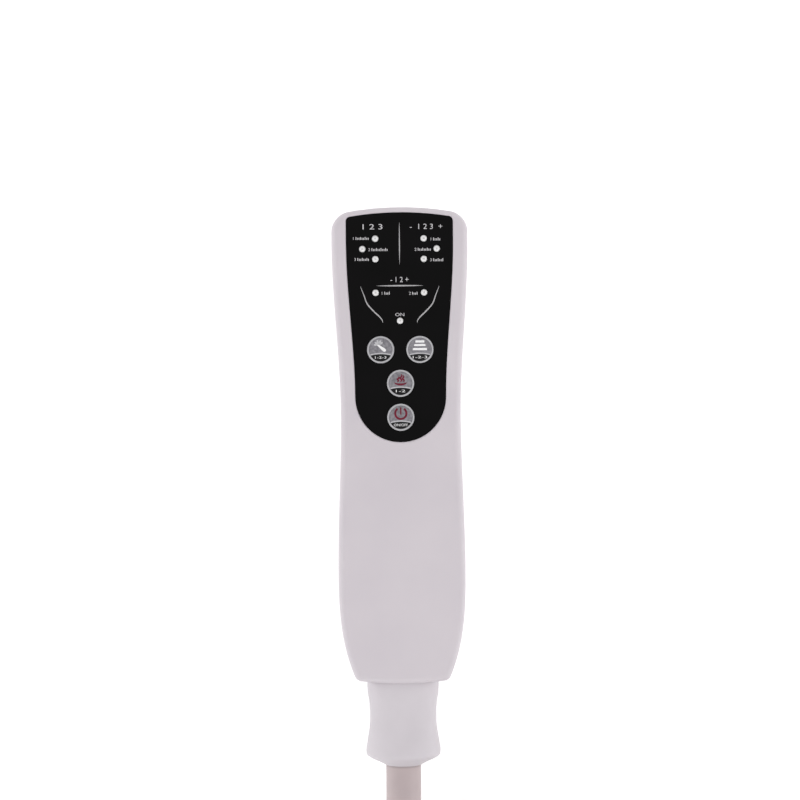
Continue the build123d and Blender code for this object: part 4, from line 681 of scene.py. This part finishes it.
def draw_window(bm, level, middle):
    """The black window: below the arc and inside the ring."""
    columns = window_columns(WINDOW_HALF_WIDTH, lambda x: -math.sqrt(WINDOW_RADIUS**2 - x**2), window_edge)
    draped_area(bm, columns, level, middle)


def draw_silver(bm, level, middle):
    """The silver arc over the window."""
    columns = window_columns(
        WINDOW_HALF_WIDTH + 0.1,
        lambda x: window_edge(x) + ARC_GAP,
        lambda x: window_edge(x) + ARC_GAP + ARC_WIDTH,
        rows=4,
    )
    draped_area(bm, columns, level, middle)


def draw_fan(bm, level, middle):
    """Soft strokes that fan out above the rod."""
    for tip in ((-2.9, 2.2), (-2.5, 3.4), (-1.4, 4.2), (0.1, 4.1), (0.9, 3.2)):
        root = (-1.1 + (tip[0] + 1.1) * 0.25, 2.0 + (tip[1] - 2.0) * 0.25)
        stroke(bm, (root, tip), 0.85, 0.35, level, middle)


def draw_rod(bm, level, middle):
    """The bright rod, thicker towards its lower end."""
    outline = [(-1.2, 2.45), (-1.6, 2.0)]
    outline += [(0.95, -0.6), (1.35, -0.85), (1.85, -0.85), (2.25, -0.55), (2.3, -0.05), (2.05, 0.4)]
    ink_area(bm, outline, level, middle)


def draw_levels(bm, level, middle):
    """Three level bars, longer towards the bottom."""
    for y, width, height in ((3.47, 3.95, 0.95), (1.92, 5.0, 0.85), (0.17, 6.15, 0.95)):
        foot = ((-width / 2, y - height / 2), (width / 2, y - height / 2))
        top = ((width / 2 - 0.1, y + height / 2), (-width / 2 + 0.1, y + height / 2))
        ink_area(bm, foot + top, level, middle)


def draw_dish(bm, level, middle):
    """A shallow dish with three wavy lines of steam."""
    rim = [(-2.85, 0.45), (-1.6, 0.08), (0.0, -0.05), (1.6, 0.08), (2.85, 0.45)]
    foot = [(2.3, -0.35), (1.1, -0.82), (0.0, -0.92), (-1.1, -0.82), (-2.3, -0.35)]
    ink_area(bm, list(reversed(rim + foot)), level, middle)
    for x, lean, tall in ((-1.35, 0.5, 0.68), (0.0, 0.35, 1.0), (1.3, -0.25, 0.85)):
        turns = ((0.0, 0.0), (0.35, 0.25), (-0.3, 0.5), (0.3, 0.75), (0.0, 1.0))
        wave = [(x + side + lean * rise, 0.6 + 3.4 * tall * rise) for side, rise in turns]
        stroke(bm, wave, 0.66, 0.3, level, middle)


def draw_switch(bm, level, middle):
    """The round switch sign: an open ring with a bar in its gap."""
    centre = (0.0, 1.7)
    ring = round_points(2.85, 125, 415, 40, centre) + round_points(2.0, 415, 125, 40, centre)
    ink_area(bm, ring, level, middle)
    ink_area(bm, ((-0.3, 1.15), (0.3, 1.15), (0.3, 4.35), (-0.3, 4.35)), level, middle)


for body, figures, width in WINDOW_FIGURES:
    face_piece(f"{body}_window", body, black_ink, draw_window)
    face_piece(f"{body}_arc", body, silver_ink, draw_silver)

    def draw_figures(bm, level, middle):
        """Plain figures in the black window."""
        lettering(bm, figures, (middle[0], middle[1] - 3.3), FIGURE_HEIGHT, level + INK_THICKNESS, width)

    face_piece(f"{body}_figures", body, bright_ink, draw_figures)
face_piece("mode_fan", "mode", silver_ink, draw_fan)
face_piece("mode_rod", "mode", bright_ink, draw_rod)
face_piece("pressure_levels", "pressure", bright_ink, draw_levels)
face_piece("heat_dish", "heat", red_ink, draw_dish)
face_piece("power_sign", "power", red_ink, draw_switch)

# The boot is the hose's strain relief, moulded in soft PVC in the case's colour. It is waisted, flares to a
# rim and rounds over to a lip on the hose, and its flanged neck is trapped in the tail wall. It is a lathe
# shape, and each row of its profile has a distance from the root, a radius and a share of the flattening.
BOOT_ROOT = -0.0970
BOOT_REACH = 0.0439
BOOT_HALF_WIDTH = 0.01640
BOOT_AXIS_HEIGHT = 0.018
BOOT_FLATNESS = 0.92
BOOT_PROFILE = (
    (9.0, 15.75, 1),
    (12.0, 15.55, 1),
    (16.0, 14.95, 1),
    (20.0, 14.62, 1),
    (23.5, 14.6, 1),
    (27.5, 14.9, 1),
    (31.5, 15.5, 1),
    (35.0, 16.05, 1),
    (37.6, 16.38, 1),
    (39.1, 16.2, 1),
    (40.0, 15.3, 1),
    (40.9, 13.9, 0.95),
    (42.1, 11.3, 0.7),
    (42.8, 9.9, 0.4),
    (43.4, 8.8, 0.1),
    (43.8, 8.2, 0),
    (43.9, 7.9, 0),
    (43.4, 7.6, 0),
    (42.0, 6.0, 0),
    (0.1, 6.0, 0),
    (0.0, 6.1, 0),
    (0.0, 11.4, 0),
    (2.2, 11.5, 0),
    (2.3, 10.0, 0),
    (4.3, 10.0, 0),
    (4.7, 15.6, 0.9),
    (9.0, 15.75, 1),
)
BOOT_ROUND = 128
BOOT_ROWS = 200


def share_curve(tree, along, shares):
    """A Float Curve node that gives a share along a profile."""
    node = add(tree, "ShaderNodeFloatCurve", {"Value": along})
    points = node.mapping.curves[0].points
    points[0].location = shares[0]
    points[-1].location = shares[-1]
    for share in shares[1:-1]:
        points.new(*share)
    for point in points:
        point.handle_type = "AUTO_CLAMPED"
    node.mapping.update()
    return node


travelled = [0.0]
for one, two in zip(BOOT_PROFILE, BOOT_PROFILE[1:]):
    travelled.append(travelled[-1] + math.dist(one[:2], two[:2]))
shares = [spot / travelled[-1] for spot in travelled]

soft_pvc, tree, shader = finish_of("soft_moulded_pvc", IOR=1.53, Sheen_Weight=0.05)
place = object_place(tree)
flow = mottle(tree, shader, place, "CFC9CE", "C9C3C8", 18 * MM)
uneven_gloss(tree, shader, flow, 0.44, 0.54)
grain(tree, shader, place, 0.7 * MM, 0.02 * MM)

boot_tree, sizes = rule_tree(
    "lathe_boot",
    Root=0.0,
    Reach=0.04,
    Half_Width=0.016,
    Axis_Height=0.018,
    Flatness=0.9,
    Round=128,
    Rows=200,
)
sheet = add(
    boot_tree,
    "GeometryNodeMeshGrid",
    {"Size X": 1.0, "Size Y": 1.0, "Vertices X": sizes["Round"], "Vertices Y": sizes["Rows"]},
)
sheet_spot = add(boot_tree, "GeometryNodeInputPosition")
spot = add(boot_tree, "ShaderNodeSeparateXYZ", {"Vector": sheet_spot}).outputs
turn = add(boot_tree, "ShaderNodeMath", {0: spot["X"], 1: math.tau}, operation="MULTIPLY")
along = add(boot_tree, "ShaderNodeMath", {0: spot["Y"], 1: 0.5}, operation="ADD")
stations, radii, squeezes = zip(*BOOT_PROFILE)
station = share_curve(boot_tree, along, [(s, value * MM / BOOT_REACH) for s, value in zip(shares, stations)])
radius = share_curve(boot_tree, along, [(s, value * MM / BOOT_HALF_WIDTH) for s, value in zip(shares, radii)])
squeeze = share_curve(boot_tree, along, list(zip(shares, squeezes)))
radius = add(boot_tree, "ShaderNodeMath", {0: radius, 1: sizes["Half Width"]}, operation="MULTIPLY")
flattening = add(boot_tree, "ShaderNodeMath", {0: sizes["Flatness"], 1: 1.0}, operation="SUBTRACT")
flat = add(boot_tree, "ShaderNodeMath", {0: squeeze, 1: flattening}, operation="MULTIPLY")
flat = add(boot_tree, "ShaderNodeMath", {0: flat, 1: 1.0}, operation="ADD")
cosine = add(boot_tree, "ShaderNodeMath", {0: turn}, operation="COSINE")
sine = add(boot_tree, "ShaderNodeMath", {0: turn}, operation="SINE")
x = add(boot_tree, "ShaderNodeMath", {0: radius, 1: cosine}, operation="MULTIPLY")
z = add(boot_tree, "ShaderNodeMath", {0: radius, 1: sine}, operation="MULTIPLY")
z = add(boot_tree, "ShaderNodeMath", {0: z, 1: flat}, operation="MULTIPLY")
z = add(boot_tree, "ShaderNodeMath", {0: z, 1: sizes["Axis Height"]}, operation="ADD")
y = add(boot_tree, "ShaderNodeMath", {0: station, 1: sizes["Reach"]}, operation="MULTIPLY")
y = add(boot_tree, "ShaderNodeMath", {0: sizes["Root"], 1: y}, operation="SUBTRACT")
put = add(boot_tree, "ShaderNodeCombineXYZ", {"X": x, "Y": y, "Z": z})
turned = add(boot_tree, "GeometryNodeSetPosition", {"Geometry": sheet, "Position": put})
closed = add(boot_tree, "GeometryNodeMergeByDistance", {"Geometry": turned, "Distance": 1e-6})
smoothed = add(boot_tree, "GeometryNodeSetShadeSmooth", {"Geometry": closed})
close_tree(boot_tree, smoothed, soft_pvc)
boot_piece = grow(
    "boot",
    boot_tree,
    Root=BOOT_ROOT,
    Reach=BOOT_REACH,
    Half_Width=BOOT_HALF_WIDTH,
    Axis_Height=BOOT_AXIS_HEIGHT,
    Flatness=BOOT_FLATNESS,
    Round=BOOT_ROUND + 1,
    Rows=BOOT_ROWS + 1,
)
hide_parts("hose_boot")
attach(boot_piece, "casing")

# The air hose is soft PVC, one jacket round the air lines and the heater's wires. It leaves the boot, rises
# over the coil's outer pass and lies down in a flat coil of a turn and a half, as it is stored. A band of
# painted shade darkens it at the boot's lip, standing in for the contact shadow that the lip casts there.
LIP_SHADE_REACH = 1.1 * MM
LIP_SHADE_DARKNESS = 0.35
HOSE_DIAMETER = 0.0154
HOSE_EXIT = (0.0, -0.1409, 0.018)
COIL_CENTRE = (0.063, -0.247075)
COIL_FLOOR = 0.0086
COIL_INNER_RADIUS = 0.065
COIL_PITCH = 0.0161
COIL_SWEEP = 545.0
COIL_STEPS = 27
COIL_START_HEIGHT = 0.0206
FALL_SWEEP = 90.0

hose_pvc, tree, shader = finish_of("soft_pvc_hose", IOR=1.53)
place = object_place(tree)
flow = mottle(tree, shader, place, "BEB0B0", "B6A8A9", 12 * MM)
depth = add(tree, "ShaderNodeSeparateXYZ", {"Vector": place})
# Painted shade: the hose's colour darkens towards the boot's lip, in place of the lip's contact shadow.
lip_shade_end = HOSE_EXIT[1] - LIP_SHADE_REACH
from_boot = add(
    tree,
    "ShaderNodeMapRange",
    {
        "Value": depth.outputs["Y"],
        "From Min": lip_shade_end,
        "From Max": lip_shade_end + 0.8 * LIP_SHADE_REACH,
        "To Max": LIP_SHADE_DARKNESS,
    },
)
unshaded = shader.inputs["Base Color"].links[0].from_socket
lip_shaded = add(tree, "ShaderNodeMixRGB", {"Fac": from_boot, "Color1": unshaded, "Color2": linear("6E6366")})
tree.links.new(lip_shaded.outputs["Color"], shader.inputs["Base Color"])
uneven_gloss(tree, shader, flow, 0.42, 0.52)
grain(tree, shader, place, 0.9 * MM, 0.03 * MM)


def coil_radius(travel):
    """Radius of the flat spiral after a travel in degrees."""
    return COIL_INNER_RADIUS + COIL_PITCH * travel / 360


def coil_spot(travel):
    """A control point of the coil after a travel in degrees, set out so that the spline keeps its radius."""
    step = COIL_SWEEP / COIL_STEPS
    radius = coil_radius(travel) / math.cos(math.radians(step / 2)) ** 1.5
    angle = math.radians(180 + travel)
    fall = max(0.0, 1 - travel / FALL_SWEEP)
    height = COIL_FLOOR + (COIL_START_HEIGHT - COIL_FLOOR) * fall**1.6
    return (COIL_CENTRE[0] + radius * math.cos(angle), COIL_CENTRE[1] + radius * math.sin(angle), height)


def coil_frame(travel):
    """A point of the coil's middle line, the way the hose runs there and the way outwards."""
    angle = math.radians(180 + travel)
    growth = COIL_PITCH / math.tau
    radius = coil_radius(travel)
    out = Vector((math.cos(angle), math.sin(angle), 0.0))
    round_way = Vector((-math.sin(angle), math.cos(angle), 0.0))
    way = (out * growth + round_way * radius).normalized()
    spot = Vector((*COIL_CENTRE, COIL_FLOOR)) + out * radius
    return spot, way, Vector((way.y, -way.x, 0.0))


end_spot, end_way, _ = coil_frame(COIL_SWEEP)
hose_route = [
    HOSE_EXIT,
    (0.0, -0.1633, 0.018),
    (-0.0008, -0.1883, 0.0256),
    (-0.0007, -0.2136, 0.0256),
    (-0.0014, -0.2319, 0.0229),
]
hose_route += [coil_spot(COIL_SWEEP * step / COIL_STEPS) for step in range(COIL_STEPS)]
hose_route += [tuple(end_spot), tuple(end_spot + end_way * HOSE_DIAMETER)]

hose_curve = bpy.data.curves.new("air_hose", "CURVE")
hose_curve.dimensions = "3D"
hose_line = hose_curve.splines.new("NURBS")
hose_line.points.add(len(hose_route) - 1)
for point, spot in zip(hose_line.points, hose_route):
    point.co = (*spot, 1.0)
hose_line.order_u = 3
hose_line.use_endpoint_u = True
hose_line.resolution_u = 12
hose_curve.bevel_depth = HOSE_DIAMETER / 2
hose_curve.bevel_resolution = 8
hose_curve.use_fill_caps = True
hose_curve.materials.append(hose_pvc)
air_hose = bpy.data.objects.new("air_hose", hose_curve)
bpy.context.scene.collection.objects.link(air_hose)
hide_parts("hose", "hose_coil")
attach(air_hose, "casing")

# The tie is a woven hook-and-loop strap of polyester, closed flat on itself round the coil's two passes. Its
# crossed threads are 0.4 mm on the real one and drawn at 0.8 mm.
TIE_SWEEP = 100.0
TIE_WIDTH = 0.016
TIE_THICKNESS = 0.0008
TIE_END_GAP = 0.0007
TIE_FLAT_GAP = 0.0001
TIE_ACROSS = HOSE_DIAMETER + COIL_PITCH + 2 * TIE_END_GAP
TIE_TALL = HOSE_DIAMETER + 2 * TIE_FLAT_GAP
TIE_THREAD = 0.0008

woven_strap, tree, shader = finish_of("woven_polyester_strap", Sheen_Weight=0.4, Sheen_Roughness=0.5)
place = object_place(tree)
threads = []
for axis in ("X", "Y"):
    threads.append(
        add(
            tree,
            "ShaderNodeTexWave",
            {"Vector": place, "Scale": WAVE_PERIOD / TIE_THREAD},
            bands_direction=axis,
        ).outputs["Fac"]
    )
crossed = add(tree, "ShaderNodeMath", {0: threads[0], 1: threads[1]}, operation="MULTIPLY")
tint(tree, shader, crossed, "3A393C", "5A585C", 0.1, 0.8)
uneven_gloss(tree, shader, crossed, 0.85, 0.7)
relief(tree, shader, crossed, 0.2 * MM, 0.8)

tie_tree, sizes = rule_tree(
    "strap_band",
    Across=0.03,
    Tall=0.016,
    Bend=0.008,
    Thickness=0.001,
    Width=0.016,
    Edge=0.0003,
    Turn=0.0,
    X=0.0,
    Y=0.0,
    Z=0.0,
)
across = add(tie_tree, "ShaderNodeMath", {0: sizes["Across"], 1: sizes["Thickness"]}, operation="ADD")
tall = add(tie_tree, "ShaderNodeMath", {0: sizes["Tall"], 1: sizes["Thickness"]}, operation="ADD")
loop = add(tie_tree, "GeometryNodeCurvePrimitiveQuadrilateral", {"Width": across, "Height": tall})
bent = add(
    tie_tree,
    "GeometryNodeFilletCurve",
    {"Curve": loop, "Radius": sizes["Bend"], "Count": 14, "Limit Radius": True},
    mode="POLY",
)
section = add(
    tie_tree,
    "GeometryNodeCurvePrimitiveQuadrilateral",
    {"Width": sizes["Thickness"], "Height": sizes["Width"]},
)
soft_section = add(
    tie_tree,
    "GeometryNodeFilletCurve",
    {"Curve": section, "Radius": sizes["Edge"], "Count": 3, "Limit Radius": True},
    mode="POLY",
)
band = add(tie_tree, "GeometryNodeCurveToMesh", {"Curve": bent, "Profile Curve": soft_section})
spot = add(tie_tree, "ShaderNodeCombineXYZ", {axis: sizes[axis] for axis in ("X", "Y", "Z")})
way = add(tie_tree, "ShaderNodeCombineXYZ", {"X": math.pi / 2, "Z": sizes["Turn"]})
stood = add(tie_tree, "GeometryNodeTransform", {"Geometry": band, "Translation": spot, "Rotation": way})
smoothed = add(tie_tree, "GeometryNodeSetShadeSmooth", {"Geometry": stood})
close_tree(tie_tree, smoothed, woven_strap)

tie_spot, _, tie_out = coil_frame(TIE_SWEEP)
tie_spot = tie_spot + tie_out * COIL_PITCH / 2
tie_piece = grow(
    "strap_tie",
    tie_tree,
    Across=TIE_ACROSS,
    Tall=TIE_TALL,
    Bend=TIE_TALL / 2 - TIE_FLAT_GAP,
    Thickness=TIE_THICKNESS,
    Width=TIE_WIDTH,
    Edge=TIE_THICKNESS * 0.4,
    Turn=math.atan2(tie_out.y, tie_out.x),
    X=tie_spot.x,
    Y=tie_spot.y,
    Z=tie_spot.z,
)
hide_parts("hose_tie")
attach(tie_piece, "casing")

# The connector is moulded on the hose's end in the same PVC as the boot. Two spigots take the wraps' tubes,
# and rows of raised grip ribs stand on its two flat faces.
CONNECTOR_COLLAR = 0.010
CONNECTOR_LENGTH = 0.036
CONNECTOR_HEIGHT = 0.0154
RIB_COUNT = 7
RIB_PITCH = 0.0030
RIB_LENGTH = 0.0150
RIB_WIDTH = 0.0013
RIB_SINK = 0.00015
coat(soft_pvc, "hose_connector")

rib_tree, sizes = rule_tree(
    "grip_ribs",
    Count=7,
    Pitch=0.003,
    Rib_Length=0.015,
    Rib_Width=0.0013,
    Lift=0.0077,
    Turn=0.0,
    X=0.0,
    Y=0.0,
    Z=0.0,
)
last = add(rib_tree, "ShaderNodeMath", {0: sizes["Count"], 1: 1}, operation="SUBTRACT")
spread = add(rib_tree, "ShaderNodeMath", {0: last, 1: sizes["Pitch"]}, operation="MULTIPLY")
first_x = add(rib_tree, "ShaderNodeMath", {0: spread, 1: -0.5}, operation="MULTIPLY")
start = add(rib_tree, "ShaderNodeCombineXYZ", {"X": first_x})
step = add(rib_tree, "ShaderNodeCombineXYZ", {"X": sizes["Pitch"]})
row = add(
    rib_tree,
    "GeometryNodeMeshLine",
    {"Count": sizes["Count"], "Start Location": start, "Offset": step},
)
half_width = add(rib_tree, "ShaderNodeMath", {0: sizes["Rib Width"], 1: 0.5}, operation="MULTIPLY")
rib = add(
    rib_tree,
    "GeometryNodeMeshCylinder",
    {"Radius": half_width, "Depth": sizes["Rib Length"], "Vertices": 16, "Side Segments": 1},
)
pair = add(rib_tree, "GeometryNodeJoinGeometry")
for direction in (1, -1):
    height = add(rib_tree, "ShaderNodeMath", {0: sizes["Lift"], 1: direction}, operation="MULTIPLY")
    lift = add(rib_tree, "ShaderNodeCombineXYZ", {"Z": height})
    laid = add(
        rib_tree,
        "GeometryNodeTransform",
        {"Geometry": rib, "Translation": lift, "Rotation": (math.pi / 2, 0.0, 0.0)},
    )
    rib_tree.links.new(laid.outputs["Geometry"], pair.inputs["Geometry"])
ribs = add(rib_tree, "GeometryNodeInstanceOnPoints", {"Points": row, "Instance": pair})
spot = add(rib_tree, "ShaderNodeCombineXYZ", {axis: sizes[axis] for axis in ("X", "Y", "Z")})
way = add(rib_tree, "ShaderNodeCombineXYZ", {"Z": sizes["Turn"]})
placed = add(rib_tree, "GeometryNodeTransform", {"Geometry": ribs, "Translation": spot, "Rotation": way})
close_tree(rib_tree, placed, soft_pvc)
rib_spot = end_spot + end_way * (HOSE_DIAMETER + CONNECTOR_COLLAR + CONNECTOR_LENGTH / 2)
rib_piece = grow(
    "connector_grips",
    rib_tree,
    Count=RIB_COUNT,
    Pitch=RIB_PITCH,
    Rib_Length=RIB_LENGTH,
    Rib_Width=RIB_WIDTH,
    Lift=CONNECTOR_HEIGHT / 2 - RIB_SINK,
    Turn=math.atan2(end_way.y, end_way.x),
    X=rib_spot.x,
    Y=rib_spot.y,
    Z=rib_spot.z,
)
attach(rib_piece, "casing")

# The floor is a white table top, a hair below the flat back, and shows as the photograph's white with a soft
# shadow. Two large softboxes stand left and right and a weaker one at the foot, under a sky that is white all
# round and greyer overhead.
FLOOR_DROP = 0.2 * MM
FLOOR_GLOW = 0.5
SKY_STRENGTH = 1.12
floor_white, tree, shader = finish_of(
    "white_table_top", Roughness=0.6, Base_Color=linear("E2E2E2"), Emission_Color=linear("FFFFFF")
)
rays = add(tree, "ShaderNodeLightPath").outputs
seen = rays["Is Camera Ray"]
for way in ("Is Glossy Ray", "Is Transmission Ray"):
    seen = add(tree, "ShaderNodeMath", {0: seen, 1: rays[way]}, operation="MAXIMUM")
glow = add(tree, "ShaderNodeMath", {0: seen, 1: FLOOR_GLOW}, operation="MULTIPLY")
tree.links.new(glow.outputs["Value"], shader.inputs["Emission Strength"])
floor = bmesh.new()
bmesh.ops.create_grid(floor, x_segments=8, y_segments=8, size=3.0)
bmesh.ops.translate(floor, vec=(0.0, 0.0, -FLOOR_DROP), verts=floor.verts)
floor_piece = mesh_piece("table_top", floor, floor_white)

world = bpy.data.worlds.new("studio")
bpy.context.scene.world = world
world.use_nodes = True
tree = world.node_tree
tree.nodes.clear()
direction = add(tree, "ShaderNodeTexCoord").outputs["Generated"]
height = add(tree, "ShaderNodeSeparateXYZ", {"Vector": direction})
ramp = add(tree, "ShaderNodeValToRGB", {"Fac": height.outputs["Z"]})
ramp.color_ramp.elements[0].position = 0.15
ramp.color_ramp.elements[0].color = (1.0, 1.0, 1.0, 1.0)
ramp.color_ramp.elements[1].position = 0.9
ramp.color_ramp.elements[1].color = (0.3, 0.3, 0.3, 1.0)
sky = add(tree, "ShaderNodeBackground", {"Color": ramp, "Strength": SKY_STRENGTH})
backdrop = add(tree, "ShaderNodeBackground", {"Color": (1.0, 1.0, 1.0, 1.0), "Strength": 1.0})
seen = add(tree, "ShaderNodeLightPath").outputs["Is Camera Ray"]
mix = add(tree, "ShaderNodeMixShader", {0: seen, 1: sky, 2: backdrop})
add(tree, "ShaderNodeOutputWorld", {"Surface": mix})


def softbox(name, at, aim, size, power):
    """A square lamp that neither the camera nor a reflection sees, so that no pale face burns out."""
    lamp = bpy.data.lights.new(name, "AREA")
    lamp.shape = "SQUARE"
    lamp.size = size
    lamp.energy = power
    holder = bpy.data.objects.new(name, lamp)
    holder.location = at
    holder.rotation_euler = (Vector(aim) - Vector(at)).to_track_quat("-Z", "Y").to_euler()
    holder.visible_camera = False
    holder.visible_glossy = False
    bpy.context.scene.collection.objects.link(holder)


softbox("left_softbox", (-1.1, 0.1, 0.7), (0, 0, 0), 0.7, 7.0)
softbox("right_softbox", (1.1, 0.1, 0.7), (0, 0, 0), 0.7, 7.0)
softbox("foot_softbox", (0.0, -1.3, 0.45), (0, -0.1, 0), 0.6, 3.0)

# The camera looks square on to the panel from about a metre above it, turned by half a degree, as in the
# photograph.
CAMERA_AIM = (-0.0003, 0.01985)
CAMERA_HEIGHT = 1.02
CAMERA_TURN = -0.0082
CAMERA_LENS = 102.1
CAMERA_FRAME = 36.0

camera_data = bpy.data.cameras.new("camera")
camera_data.lens = CAMERA_LENS
camera_data.sensor_width = CAMERA_FRAME
camera = bpy.data.objects.new("camera", camera_data)
camera.location = (*CAMERA_AIM, CAMERA_HEIGHT)
camera.rotation_euler = (0.0, 0.0, CAMERA_TURN)
bpy.context.scene.collection.objects.link(camera)
bpy.context.scene.camera = camera
bpy.context.scene.view_settings.view_transform = "Standard"
